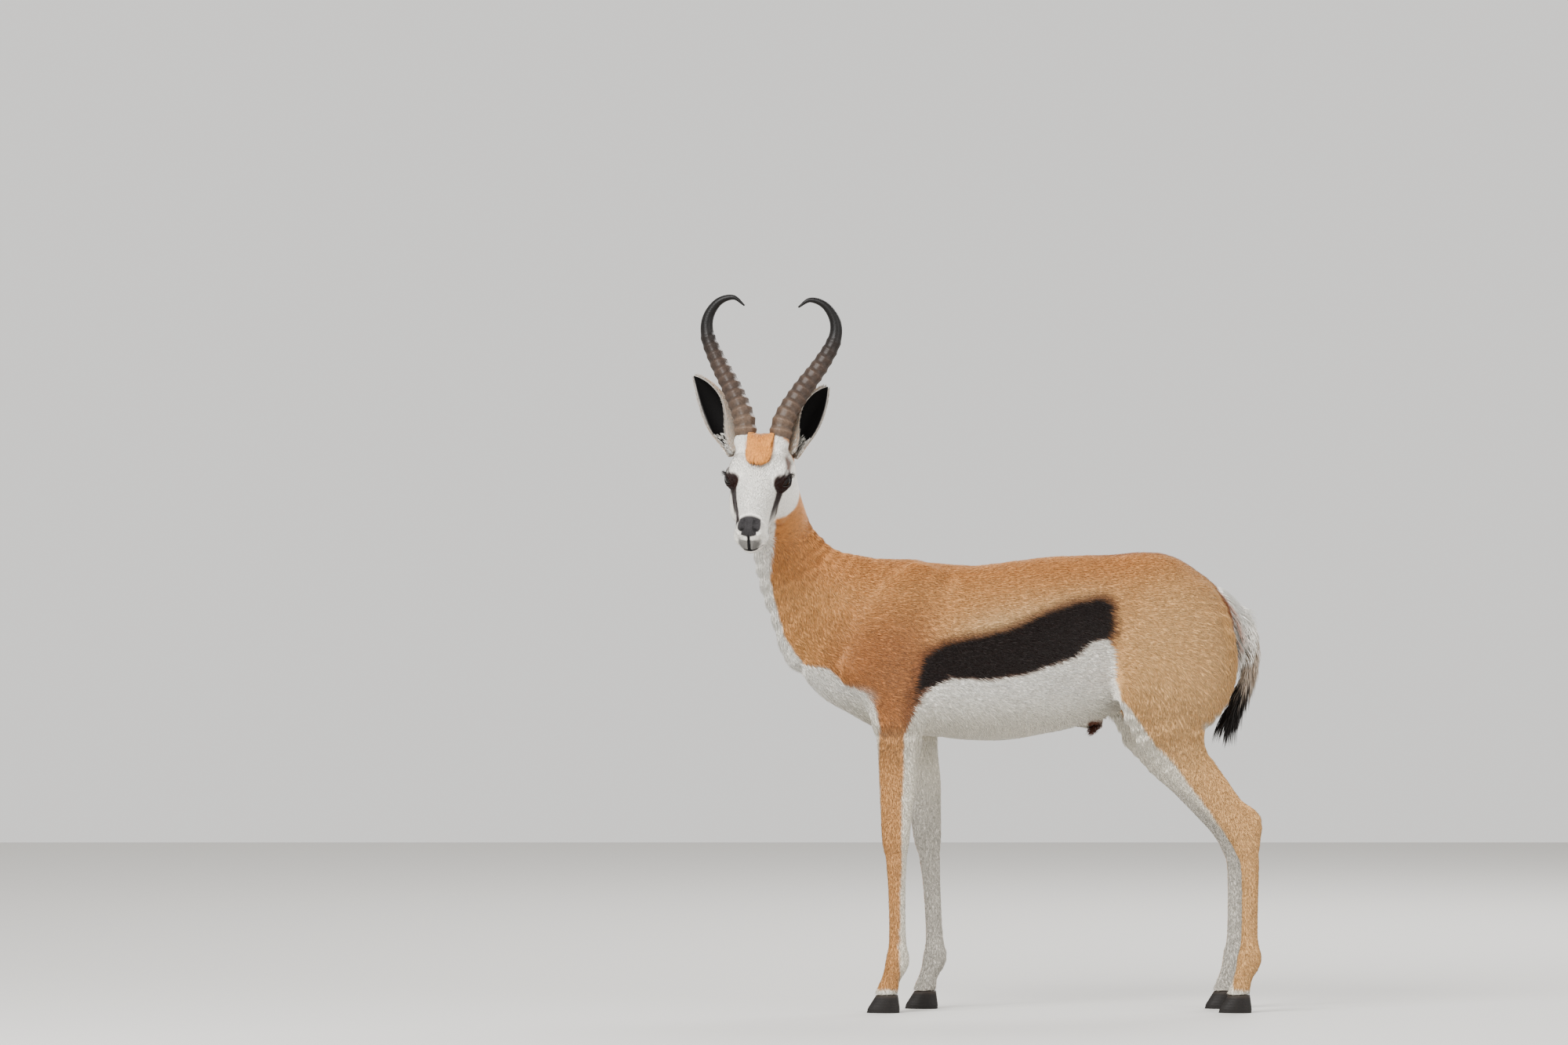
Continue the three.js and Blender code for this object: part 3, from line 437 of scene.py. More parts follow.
bandTop = [(1158, 880), (1166, 852), (1176, 832), (1202, 819), (1240, 811), (1279, 802), (1304, 792),
           (1330, 781), (1368, 767), (1401, 762), (1414, 769)]
bandBottom = [(1415, 802), (1409, 811), (1388, 815), (1368, 833), (1342, 843), (1317, 852), (1291, 860),
              (1253, 862), (1210, 861), (1189, 869), (1176, 881), (1163, 908), (1158, 912)]
bandOutline = fromPhoto(bandTop + bandBottom)
tanFront = [(1000, 500), (1000, 600), (990, 660), (984, 707), (982, 733), (988, 763), (1000, 809),
            (1023, 845), (1054, 850), (1074, 868), (1100, 878), (1113, 894), (1120, 920), (1123, 1060),
            (1119, 1260)]
tanUnder = [(1146, 1260), (1150, 1060), (1151, 1000), (1153, 930), (1159, 912)] + bandBottom[10:0:-1]
tanRear = [(1418, 828), (1420, 859), (1429, 889), (1450, 915), (1473, 948), (1499, 974), (1523, 1009),
           (1543, 1036), (1563, 1062), (1572, 1100), (1572, 1260)]
tanBack = [(1640, 1260), (1640, 1000), (1575, 940), (1570, 905), (1580, 870), (1592, 840), (1600, 800),
           (1600, 740), (1560, 690), (1460, 670), (1100, 670), (1085, 500)]
tanOutline = fromPhoto(tanFront + tanUnder + tanRear + tanBack)
tearStripes = [fromPhoto([(935, 618), (938, 640), (942, 668), (944, 682)]),
               fromPhoto([(996, 622), (990, 640), (983, 668), (981, 684)])]


def mixed(a, b, share):
    return a + (b - a) * np.asarray(share)[..., None]


def evenly(name, *counts):
    return np.tile(shades[name], counts + (1,))


# Shades laid over a colour one after another, each by its share
def layered(colour, *layers):
    for name, share in layers:
        colour = mixed(colour, shades[name], share)
    return colour


# Soft irregular waves from -1 to 1, the same for the same place and seed
def wave(points, size, seed):
    p = points / size
    total = 0
    for i in range(5):
        way = [math.sin(seed + 1.7 * i), math.cos(seed * 1.3 + 2.3 * i), math.sin(seed * 0.7 + 3.1 * i)]
        total = total + np.sin(2.4 * (p @ unit(np.array(way))) + 5 * i + seed)
    return total / 5


# Distance to an outline in the side view, less than zero inside it, or to a line that isn't closed
def outlineGap(outline, u, v, closed=True):
    best = np.full(len(u), 1e9)
    inside = np.zeros(len(u), bool)
    ends = np.roll(outline, -1, axis=0) if closed else outline[1:]
    for (ax, ay), (bx, by) in zip(outline, ends):
        dx, dy = bx - ax, by - ay
        t = np.clip(((u - ax) * dx + (v - ay) * dy) / max(dx * dx + dy * dy, 1e-9), 0, 1)
        best = np.minimum(best, np.hypot(u - ax - t * dx, v - ay - t * dy))
        if ay != by:
            inside ^= ((ay > v) != (by > v)) & (u < dx * (v - ay) / (by - ay) + ax)
    return np.where(inside & closed, -best, best)


rumpOptions = {"middle": 596, "halfHeight": 128, "halfWidth": 50, "low": 440, "high": 742}


# The white patch behind and the chestnut rim round it
def rumpShare(points, normals, fleck):
    x, y, z = points.T
    rise = (z - rumpOptions["middle"]) / rumpOptions["halfHeight"]
    patch = np.abs(y) - rumpOptions["halfWidth"] * np.sqrt(np.clip(1 - rise ** 2, 0, 1)) + fleck
    behind = ease(382, 402, x) * ease(0.05, 0.3, normals[:, 0])
    between = (z > rumpOptions["low"]) * (z < rumpOptions["high"])
    return ease(3, -3, patch) * behind, ease(18, 4, patch) * behind * between


# Places on the body are in millimetres: x to the tail, y to the right, z up
def coatColour(points, normals):
    x, y, z = points.T
    # The right legs stand back or ahead of the left ones, and carry the same markings
    rightSide = ease(15, 35, y)
    x = x - rightSide * (ease(110, 60, x) * farFore(z) + ease(180, 230, x) * farHind(z))
    fleck = wave(points, 26, 1) * 2.5 + wave(points, 7, 2) * 1.6
    outward = normals[:, 1] * np.sign(y + (y == 0))
    streak = np.exp(-((z - (648 + 0.2 * x)) / 36) ** 2) * ease(-110, 40, x) * ease(270, 170, x)
    colour = layered(
        evenly("tan", len(points)),
        ("back", ease(700, 765, z) * 0.7),
        ("shoulder", ease(150, 40, np.hypot((x + 150) * 0.9, (z - 560) * 0.8)) * 0.8),
        ("pale", streak * 0.8),
        ("thigh", ease(190, 60, np.hypot(x - 350, (z - 580) * 0.8)) * 0.9),
        ("thigh", ease(500, 440, z) * ease(200, 260, x) * 0.7),
        ("leg", ease(500, 460, z) * ease(60, 0, x) * 0.8),
    )
    # The dark band along the flank and its soft reddish edge
    band = outlineGap(bandOutline, x, z) + fleck
    trunk = ease(-0.1, 0.25, outward) * (z > 470)
    fade = ease(-70, -115, x)
    bandShare = ease(4, -4, band + 9 * fade) * trunk
    edgeShare = ease(20, 0, band) * trunk * (0.8 - 0.35 * fade)
    # White below and in front, and on the inner sides of the legs
    white = ease(-2.5, 2.5, outlineGap(tanOutline, x, z) + fleck * 0.8)
    white = white * np.maximum(ease(0.3, -0.05, normals[:, 1]), ease(800, 760, z))
    white = np.maximum(white, ease(0.12, -0.22, outward) * ease(505, 470, z))
    white = np.maximum(white, ease(-0.35, -0.65, normals[:, 2]) * ease(570, 530, z) * ease(430, 450, z))
    # The grey on the inward-facing sides of the legs low down is painted shade between the legs; the white
    # and cream are the coat's own colour.
    belly = layered(evenly("white", len(points)), ("cream", ease(560, 470, z) * 0.5),
                    ("grey", ease(440, 300, z) * ease(0.2, -0.3, outward) * 0.5))
    colour = layered(colour, ("bandEdge", edgeShare), ("band", bandShare))
    colour = mixed(colour, belly, white * (1 - bandShare))
    # The sheath, the white rump between chestnut edges, and the closed fold along the croup
    sheath = np.hypot(x - 205, (z - 487) * 1.2)
    rump, rim = rumpShare(points, normals, fleck * 0.6)
    fold = np.abs(y) + wave(points, 14, 5) * 1.5
    along = ease(150, 260, x) * ease(700, 722, z)
    colour = layered(
        colour,
        ("bandEdge", ease(17, 9, sheath + fleck) * ease(500, 488, z)),
        ("chestnut", rim * 0.85),
        ("chestnut", ease(20, 6, fold) * along * 0.6),
        ("white", np.maximum(rump, ease(4.5, 2, fold) * along * ease(330, 400, x))),
    )
    # Fine darker streaks in the tan
    darker = ease(0.3, 0.8, wave(points * np.array([1, 1, 2.2]), 5.5, 8)) * (1 - white)
    colour = colour * (1 - (0.16 + 0.14 * ease(-150, -260, x)) * darker)[:, None]
    return headColour(points, normals, colour)


def headColour(points, normals, colour):
    x, _, z = points.T
    s, u, l = toHead(points).T
    out = np.abs(s)
    fleck = wave(points, 9, 3) * 1.5 + wave(points, 3.5, 4)
    near = (np.linalg.norm(points - fromHead([0, -20, 20]), axis=1) < 150) & (l > -92) & (u > -92)
    # White in front of a line from the crown down behind the cheek
    edge = l + 62 - 0.5 * ease(-20, -80, u) * 40 + fleck
    cheek = u + 70 - 30 * ease(0, 60, l) + fleck
    # Dark stripes from the eyes to the corners of the mouth, and dark skin round the eyes
    facing = ease(-0.1, 0.25, -(normals @ uprightTurn[:, 1]))
    tear = np.minimum(outlineGap(tearStripes[0], x, z, False), outlineGap(tearStripes[1], x, z, False) - 1)
    width = 0.9 + 2.7 * ease(806, 836, z) + 2 * ease(870, 900, z)
    stripe = ease(1.4, -1.2, tear - width + fleck * 0.4) * facing * ease(-48, -30, u) * (l < 108)
    fromEye = np.stack([out - eyePlace[0], u - eyePlace[1], l - eyePlace[2]], axis=1)
    surround = np.linalg.norm(fromEye, axis=1) + 0.28 * np.abs(u) + fleck * 0.7
    temple = np.hypot((out - 50) * 0.9, (u - 4) * 0.6) + fleck
    crown = ease(26, 21, out + 0.004 * (l + 48) ** 2 + fleck) * ease(0, 10, u) * ease(-8, -16, l)
    # The bare nose and the dark line of the lips
    pad = np.hypot(out / (19.5 + 0.35 * (u - noseUp)), (u - noseUp) / 9.5)
    nose = ease(1.06, 0.94, pad) * ease(96, 102, l)
    upper = ease(23, 15, np.hypot(out, (u + 17) * 1.5) + fleck) * ease(100, 110, l)
    lips = ease(3.6, 1.8, np.abs(mouthGap(u, l))) * ease(74, 86, l)
    cleft = ease(3.4, 2, out) * ease(-33, -29, u) * ease(6, 2, u) * ease(100, 106, l)
    head = layered(
        colour,
        ("white", ease(-4, 4, edge) * ease(-5, 3, cheek)),
        ("stripe", stripe),
        ("stripe", ease(26.5, 22.5, surround - 3 * ease(0, 14, l))),
        ("bandEdge", ease(11, 5, temple) * ease(-52, -40, l) * ease(-4, -14, l) * 0.8),
        ("tuft", crown),
        ("grey", ease(1.45, 0.9, pad) * ease(94, 104, l) * 0.6),
        ("nose", np.maximum(nose, upper * 0.75)),
        ("lip", np.maximum(lips, cleft)),
    )
    return np.where(near[:, None], head, colour)


# The coat's depth over the skin, and how far a place belongs to the face and to the legs
def coatDepth(points):
    _, u, l = toHead(points).T
    face = ease(-95, -60, l) * ease(-122, -92, u) * ease(205, 175, np.linalg.norm(points - eyeMiddle, axis=1))
    legs = ease(500, 400, points[:, 2])
    depth = 4.0 - 2.2 * legs
    return depth * (1 - face) + 1.3 * face, face, legs


# Which way the hair lies: back along the body, down the neck, thighs and legs, and up the face
def lieOf(points, normals):
    x, _, z = points.T
    s = toHead(points)[:, 0]
    lie = np.tile([1.0, 0, -0.32], (len(points), 1))
    for way, share in (
        ((0.42, 0.1, -0.9), ease(-150, -260, x) * ease(600, 680, z)),  # neck
        ((0.35, 0, -0.94), ease(640, 520, z) * ease(230, 300, x)),  # thigh
        ((0.08, 0, -1), ease(540, 470, z)),  # legs
        ((0.25, 0, -1), ease(390, 430, x)),  # rump
    ):
        lie = lie + (np.array(way) - lie) * share[:, None]
    face = coatDepth(points)[1]
    up = fromHead(np.column_stack([0.35 * np.tanh(s / 14), 0 * s, -1 + 0 * s])) - eyeMiddle
    lie = lie + (up - lie) * face[:, None]
    swirl = 0.2 * wave(points, 40, 12) + draws.normal(0, 0.12, len(points))
    lie = unit(lie - normals * (lie * normals).sum(1, keepdims=True))
    return unit(lie + np.cross(normals, lie) * swirl[:, None])


# Faces of a closed form, turned over if they point inwards
def facingOut(points, faces):
    a, b, c = (points[faces[:, k]] for k in range(3))
    volume = np.einsum("ij,ij->i", a, np.cross(b, c)).sum()
    return faces[:, ::-1] if volume < 0 else faces


# Flat locks or tufts as one mesh: each a closed blade with three sides along its path
# The root and tip factors scale each blade's colour: darker at the root as painted shade among the tufts,
# lighter at the tip as painted light.
bladeOptions = {"thick": 0.35, "rootPaintedShade": 0.84, "tipPaintedLight": 1.08, "patch": 0.0015}


def bladeMesh(name, paths, ups, widths, colours, places):
    n, k, _ = paths.shape
    along = unit(np.gradient(paths, axis=1))
    across = unit(np.cross(along, ups[:, None, :]))
    upward = np.cross(across, along)
    t = np.arange(k - 1) / (k - 1)
    taper = (0.72 + 0.9 * t) * (1 - t ** 2.2)
    w = widths[:, None, None] * taper[None, :, None] / 2
    rings = np.stack([paths[:, :-1] - across[:, :-1] * w, paths[:, :-1] + across[:, :-1] * w,
                      paths[:, :-1] + upward[:, :-1] * w * 2 * bladeOptions["thick"]], axis=2)
    points = np.concatenate([rings.reshape(n, -1, 3), paths[:, -1:]], axis=1)
    size = 3 * (k - 1) + 1
    faces = [[0, 1, 2]]
    for i in range(k - 2):
        for j in range(3):
            a, b = 3 * i + j, 3 * i + (j + 1) % 3
            faces += [[a, b + 3, b], [a, a + 3, b + 3]]
    last = 3 * (k - 2)
    faces += [[last + j, size - 1, last + (j + 1) % 3] for j in range(3)]
    faces = facingOut(points[0], np.array(faces))
    allFaces = (faces[None] + (np.arange(n) * size)[:, None, None]).reshape(-1, 3)
    mesh = meshFrom(name, toFrame(points.reshape(-1, 3)), allFaces)
    # Each blade's colour is painted darker at its root as painted shade and lighter at its tip as painted
    # light
    rootPaintedShade, tipPaintedLight = bladeOptions["rootPaintedShade"], bladeOptions["tipPaintedLight"]
    paintedShading = np.append(np.repeat(rootPaintedShade + (tipPaintedLight - rootPaintedShade) * t, 3), tipPaintedLight)
    paint(mesh, np.clip(colours[:, None] * paintedShading[None, :, None], 0, 1).reshape(-1, 3))
    # Each blade bakes to a small patch of the skin's map, at the place where it grows
    local = np.column_stack([np.append(np.tile([-1, 1, 0], k - 1), 0), np.append(np.repeat(2 * t - 1, 3), 1)])
    flat = (places[:, None] + local[None] * bladeOptions["patch"]).reshape(-1, 2)
    layer = mesh.uv_layers.new(name="OFBake")
    layer.data.foreach_set("uv", flat[allFaces.ravel()].astype(np.float32).ravel())
    return mesh


report("forms and colours ready")

# Materials. A group adds the grain of hair to a colour and gives a relief that goes with it.
def nodeOf(tree, kind, values, operation=None):
    node = tree.nodes.new("ShaderNode" + kind)
    if operation:
        node.operation = operation
    for key, value in values.items():
        node.inputs[key].default_value = value
    return node


def grainGroup():
    tree = bpy.data.node_groups.new("hairGrain", "ShaderNodeTree")
    for label, kind, value in (("Colour", "Color", (1, 1, 1, 1)), ("Scale", "Float", 400.0),
                               ("Contrast", "Float", 0.3), ("Relief", "Float", 0.3)):
        socket = tree.interface.new_socket(label, in_out="INPUT", socket_type="NodeSocket" + kind)
        socket.default_value = value
    for label, kind in (("Colour", "Color"), ("Normal", "Vector")):
        tree.interface.new_socket(label, in_out="OUTPUT", socket_type="NodeSocket" + kind)
    source, result = tree.nodes.new("NodeGroupInput"), tree.nodes.new("NodeGroupOutput")
    where = nodeOf(tree, "TexCoord", {})
    noise = nodeOf(tree, "TexNoise", {"Detail": 3})
    span = nodeOf(tree, "MapRange", {"From Min": 0.3, "From Max": 0.7})
    lowest = nodeOf(tree, "Math", {0: 1}, "SUBTRACT")
    highest = nodeOf(tree, "Math", {1: 0.5, 2: 1}, "MULTIPLY_ADD")
    tint = nodeOf(tree, "VectorMath", {}, "SCALE")
    bump = nodeOf(tree, "Bump", {"Distance": 0.001})
    for start, output, end, entry in (
        (where, "Object", noise, "Vector"), (source, "Scale", noise, "Scale"),
        (source, "Contrast", lowest, 1), (source, "Contrast", highest, 0),
        (noise, "Fac", span, "Value"), (lowest, 0, span, "To Min"), (highest, 0, span, "To Max"),
        (source, "Colour", tint, 0), (span, "Result", tint, "Scale"),
        (noise, "Fac", bump, "Height"), (source, "Relief", bump, "Strength"),
        (tint, "Vector", result, "Colour"), (bump, "Normal", result, "Normal"),
    ):
        tree.links.new(start.outputs[output], end.inputs[entry])
    return tree


hairGrain = grainGroup()


def materialOf(name, values, grain=None, painted=True):
    material = bpy.data.materials.new(name)
    material.use_nodes = True
    tree = material.node_tree
    shader = tree.nodes["Principled BSDF"]
    for label, value in values.items():
        shader.inputs[label].default_value = value
    if not painted:
        return material
    colour = nodeOf(tree, "Attribute", {})
    colour.attribute_name = "coat"
    if not grain:
        tree.links.new(colour.outputs["Color"], shader.inputs["Base Color"])
        return material
    group = nodeOf(tree, "Group", {})
    group.node_tree = hairGrain
    for label, value in zip(("Scale", "Contrast", "Relief"), grain):
        group.inputs[label].default_value = value
    tree.links.new(colour.outputs["Color"], group.inputs["Colour"])
    tree.links.new(group.outputs["Colour"], shader.inputs["Base Color"])
    tree.links.new(group.outputs["Normal"], shader.inputs["Normal"])
    return material


# Gloss of each finish, then the scale, contrast and relief of its grain
finishes = {
    "skin": ({"Roughness": 0.8, "Specular IOR Level": 0.25}, (700.0, 0.35, 0.5)),
    "fur": ({"Roughness": 0.62, "Specular IOR Level": 0.3, "Sheen Weight": 0.12, "Sheen Roughness": 0.5},
            (260.0, 0.16, 0.1)),
    "horn": ({"Roughness": 0.46, "Specular IOR Level": 0.45}, (330.0, 0.3, 0.35)),
    "hoof": ({"Roughness": 0.5, "Base Color": (0.02, 0.017, 0.015, 1)}, (500.0, 0.3, 0.3)),
    "eye": ({"Roughness": 0.2, "Specular IOR Level": 0.25, "Coat Weight": 0.5, "Coat Roughness": 0.02,
             "Coat IOR": 1.33}, None),
    "lidRim": ({"Roughness": 0.35, "Specular IOR Level": 0.5}, (900.0, 0.2, 0.2)),
}
materials = {name: materialOf(name, values, grain) for name, (values, grain) in finishes.items()}
report("materials")

# The skin: the flesh less the depth of the coat, finer on the head and finest at the eyes and muzzle
flesh, quads = fleshMesh()
skinMesh = meshFrom("skin", flesh, quads)
shape = bmesh.new()
shape.from_mesh(skinMesh)


# Edges between chosen points are cut in two
def refine(chosen):
    shape.verts.ensure_lookup_table()
    places = np.array([v.co for v in shape.verts])
    wanted = chosen(places)
    edges = [e for e in shape.edges if wanted[e.verts[0].index] and wanted[e.verts[1].index]]
    bmesh.ops.subdivide_edges(shape, edges=edges, cuts=1, use_grid_fill=True)
    shape.verts.index_update()


# How far above the line of the mouth a place on the face is
def mouthGap(up, along):
    return up + 30 + 0.06 * (118 - along)


def onFace(points):
    return (np.linalg.norm(points - eyeMiddle, axis=1) < 180) & (toHead(points)[:, 2] > -92)


def nearEyes(s, u, l, reach):
    return np.sqrt((np.abs(s) - eyePlace[0]) ** 2 + (u - eyePlace[1]) ** 2 + l ** 2) < reach


def atEyesAndMuzzle(points):
    s, u, l = toHead(points).T
    muzzle = (l > 66) & (np.abs(s) < 45) & (np.linalg.norm(points - eyeMiddle, axis=1) < 190)
    return nearEyes(s, u, l, 34) | muzzle


def atLids(points):
    s, u, l = toHead(points).T
    mouth = (np.abs(mouthGap(u, l)) < 7) & (l > 70) & onFace(points)
    nostril = (np.hypot(np.abs(s) - 12, u - noseUp) < 12) & (l > 100)
    return nearEyes(s, u, l, 28) | mouth | nostril


for chosen in (onFace, atEyesAndMuzzle, atLids):
    refine(chosen)
bmesh.ops.triangulate(shape, faces=[f for f in shape.faces if len(f.verts) > 4])
shape.to_mesh(skinMesh)
shape.free()
points = ontoLevel(pointsOf(skinMesh), 0, 2)
points = ontoLevel(points, coatDepth(points)[0], 2)
report("flesh surface")


lidOptions = {"long": 12.5, "high": 7.5, "lean": 0.18, "thickness": 2.6, "fold": 1.3, "sunk": 3.5,
              "outward": (0.86, 0.22, 0.46), "along": (-0.35, 0.1, 0.93)}


# An eye's middle, the way it looks, along its opening and across it
def lidAxes(side):
    outward, along = (faceTurn @ np.array([side * way[0], *way[1:]])
                      for way in (lidOptions["outward"], lidOptions["along"]))
    outward = unit(outward)
    along = unit(along - outward * (outward @ along))
    return fromHead([side * eyePlace[0], *eyePlace[1:]]), outward, along, np.cross(outward, along)


nostrilOptions = {"out": 12.5, "below": 1, "turn": 43, "narrow": 3.0, "long": 6.4, "depth": 6.5, "rim": 1.2}
reliefOptions = {"large": 1.3, "small": 0.6, "height": 0.8}


# The lids: skin inside the almond goes behind the eyeball, and a fold runs round the opening
def sculptLids(points):
    for side in headSides.values():
        centre, outward, along, across = lidAxes(side)
        q = points - centre
        reach = np.linalg.norm(q, axis=1)
        u, v, w = q @ along, q @ across, q @ outward
        front = (w > 0) & (reach < 40)
        lean = 1 - lidOptions["lean"] * np.clip(u / lidOptions["long"], -1, 1)
        e = np.hypot(u / lidOptions["long"], v / (lidOptions["high"] * lean))
        inner = ease(1.12, 0.95, e)
        lid = ease(1.9, 1.25, e) * (1 - inner)
        fold = np.exp(-((e - 2.0) / 0.16) ** 2)
        target = reach + (eyeRadius + lidOptions["thickness"] - reach) * lid - lidOptions["fold"] * fold
        target = target + (eyeRadius - lidOptions["sunk"] - target) * inner
        points = np.where(front[:, None], centre + q * (target / reach)[:, None], points)
    return points


# The groove of the mouth, the cleft under the nose and the nostrils with their raised rims
def sculptMuzzle(points, normals):
    s, u, l = toHead(points).T
    out = np.abs(s)
    mouth = np.exp(-(mouthGap(u, l) / 1.7) ** 2) * ease(72, 84, l)
    cleft = np.exp(-(s / 1.2) ** 2) * ease(-32, -28, u) * ease(6, 1, u) * ease(102, 108, l)
    turn = math.radians(nostrilOptions["turn"])
    outer, upper = out - nostrilOptions["out"], u - noseUp + nostrilOptions["below"]
    along = outer * math.cos(turn) + upper * math.sin(turn)
    across = upper * math.cos(turn) - outer * math.sin(turn)
    hole = (along / nostrilOptions["narrow"]) ** 2 + (across / nostrilOptions["long"]) ** 2
    nostril = np.exp(-hole ** 1.5) * ease(102, 108, l)
    rim = nostrilOptions["rim"] * np.exp(-((hole - 2.4) / 1.1) ** 2) * ease(102, 108, l)
    sink = 4.2 * mouth + 1.6 * cleft + nostrilOptions["depth"] * nostril
    cheek = 1.1 * wave(points, 17, 6) * ease(-70, -20, l) * ease(90, 60, l) * ease(10, 30, out)
    return points + normals * ((rim - sink + 0.5 * cheek) * onFace(points))[:, None]


setPoints(skinMesh, points)
points = sculptMuzzle(sculptLids(points), normalsOf(skinMesh))
# Muscles and folds under the coat, as shallow relief
muscle = (reliefOptions["large"] * wave(points * np.array([1, 1, 0.55]), 38, 21)
          + reliefOptions["small"] * wave(points, 15, 23))
body = 1 - np.maximum(onFace(points), ease(430, 380, points[:, 2]))
lift = reliefOptions["height"] * muscle * body - reliefOptions["height"] * body
setPoints(skinMesh, points + normalsOf(skinMesh) * lift[:, None])
points = pointsOf(skinMesh)
normals = normalsOf(skinMesh)
paint(skinMesh, coatColour(points, normals))
report("skin shaped")

# The unwrap that the bake uses
skin = shown("skin", skinMesh)
skinMesh.uv_layers.new(name="OFBake")
bpy.context.view_layer.objects.active = skin
skin.select_set(True)
bpy.ops.object.mode_set(mode="EDIT")
bpy.ops.mesh.select_all(action="SELECT")
bpy.ops.uv.smart_project(angle_limit=math.radians(66), island_margin=0.004)
bpy.ops.object.mode_set(mode="OBJECT")
skin.select_set(False)
report("skin unwrapped")

# Where tufts grow: places spread over the skin's triangles
skinMesh.calc_loop_triangles()
corners = readAll(skinMesh.loop_triangles, "vertices", 3, np.int32)
loops = readAll(skinMesh.loop_triangles, "loops", 3, np.int32)
print("skin triangles", len(corners))
# The map keeps a narrow border free, so that the patches of the tufts stay inside it
mapped = skinMesh.uv_layers["OFBake"].data
flatPlaces = readAll(mapped, "uv", 2) * 0.99 + 0.005
mapped.foreach_set("uv", flatPlaces.ravel())
triangles = points[corners]
first, second = triangles[:, 1] - triangles[:, 0], triangles[:, 2] - triangles[:, 0]
areas = np.linalg.norm(np.cross(first, second), axis=1) / 2


# Places spread evenly over the triangles, so many to a square millimetre
def scatter(density):
    wanted = areas * density
    number = np.floor(wanted + draws.random(len(wanted))).astype(int)
    chosen = np.repeat(np.arange(len(wanted)), number)
    a, b = draws.random((2, len(chosen)))
    flip = a + b > 1
    a[flip], b[flip] = 1 - a[flip], 1 - b[flip]
    weights = np.stack([1 - a - b, a, b], axis=1)[:, :, None]
    return ((points[corners[chosen]] * weights).sum(1), unit((normals[corners[chosen]] * weights).sum(1)),
            (flatPlaces[loops[chosen]] * weights).sum(1))


# Nose, lips and lids are bare, and no hair grows where hooves, horns and ears stand
def bare(places):
    s, u, l = toHead(places).T
    pad = (np.hypot(np.abs(s) / 19, (u - noseUp) / 9.5) < 1.02) & (l > 97)
    lips = (np.abs(mouthGap(u, l)) < 3) & (l > 76)
    found = (pad | lips) & onFace(places) | (places[:, 2] < 36)
    for side in headSides.values():
        centre, outward, along, across = lidAxes(side)
        q = places - centre
        e = np.hypot((q @ along) / lidOptions["long"], (q @ across) / lidOptions["high"])
        found |= (e < 1.35) & (q @ outward > 0) & (np.linalg.norm(q, axis=1) < 40)
        for (out, *place), reach in (((28.6, 35, 68), 20), ((50, 52, 40), 13)):
            found |= np.linalg.norm(places - fromUpright([side * out, *place]), axis=1) < reach
    return found


coatOptions = {
    "body": 0.2, "face": 0.78, "legs": 0.32,  # tufts on a square millimetre
    "bodyLength": 14.0, "faceLength": 4.8, "legLength": 7.5, "rumpLonger": 0.9,
    "rise": 0.17, "faceRise": 0.15, "mostInPiece": 46000,
}


def growCoat():
    middles = triangles.mean(1)
    _, face, legs = coatDepth(middles)
    density = coatOptions["body"] + (coatOptions["legs"] - coatOptions["body"]) * legs
    density = density + (coatOptions["face"] - density) * face
    density[bare(middles)] = 0
    roots, ups, places = scatter(density)
    _, face, legs = coatDepth(roots)
    long = coatOptions["bodyLength"] + (coatOptions["legLength"] - coatOptions["bodyLength"]) * legs
    long = long + (coatOptions["faceLength"] - long) * face
    rump, _ = rumpShare(roots, ups, 0)
    long = long * (1 + coatOptions["rumpLonger"] * rump) * draws.uniform(0.75, 1.2, len(roots))
    lie = lieOf(roots, ups)
    rise = np.where(face > 0.5, coatOptions["faceRise"], coatOptions["rise"])
    rise = rise * draws.uniform(0.55, 1.25, len(roots)) + 0.12 * rump
    tip = roots + lie * long[:, None] + ups * (long * rise)[:, None]
    paths = np.stack([roots - ups * 0.4, tip], axis=1)
    colours = coatColour(roots + lie * 2, ups) * draws.uniform(0.9, 1.06, (len(roots), 1))
    widths = (0.13 * long + 0.75) * draws.uniform(0.75, 1.25, len(roots))
    return paths, ups, widths, colours, places


paths, ups, widths, colours, places = growCoat()
print("tufts", len(paths))
regions = {
    "head": np.linalg.norm(paths[:, 0] - eyeMiddle, axis=1) < 190,
    "neck": paths[:, 0, 0] < -235,
    "legs": paths[:, 0, 2] < 480,
    "near_side": paths[:, 0, 1] < 0,
    "far_side": paths[:, 0, 1] >= 0,
}
taken = np.zeros(len(paths), bool)
for region, wanted in regions.items():
    chosen = np.flatnonzero(wanted & ~taken)
    taken |= wanted
    chosen = chosen[np.argsort(paths[chosen, 0, 0], kind="stable")]
    shares = np.array_split(chosen, math.ceil(len(chosen) / coatOptions["mostInPiece"]))
    for number, share in enumerate(shares, 1):
        mesh = bladeMesh(f"coat_{region}_{number}", paths[share], ups[share], widths[share], colours[share],
                         places[share])
        pieceFrom(mesh, "fur", "white_fur" if region == "head" else "tan_fur")
report("coat grown")

setPoints(skinMesh, toFrame(points))
legNodes = [f"leg_{end}_{side}_{part}" for end in ("fore", "hind") for side in ("left", "right")
            for part in ("upper", "lower")]
dress(skin, materials["skin"], "tan_fur", "torso", "neck", "head", *legNodes)


# Where the skin's map shows the skin near a spot
def nearestPlace(spot):
    picked = draws.integers(0, len(corners), 20000)
    nearest = picked[np.argmin(((triangles[picked].mean(1) - spot) ** 2).sum(1))]
    return flatPlaces[loops[nearest, :1]]


# The points where lines from outside meet a level under the surface
def surfaceAt(starts, way, depth):
    p = np.array(starts, float)
    for _ in range(60):
        gap = bodyGap(p) + depth
        p = p + np.array(way) * np.clip(gap, -4, 8)[:, None] * 0.8
    return p


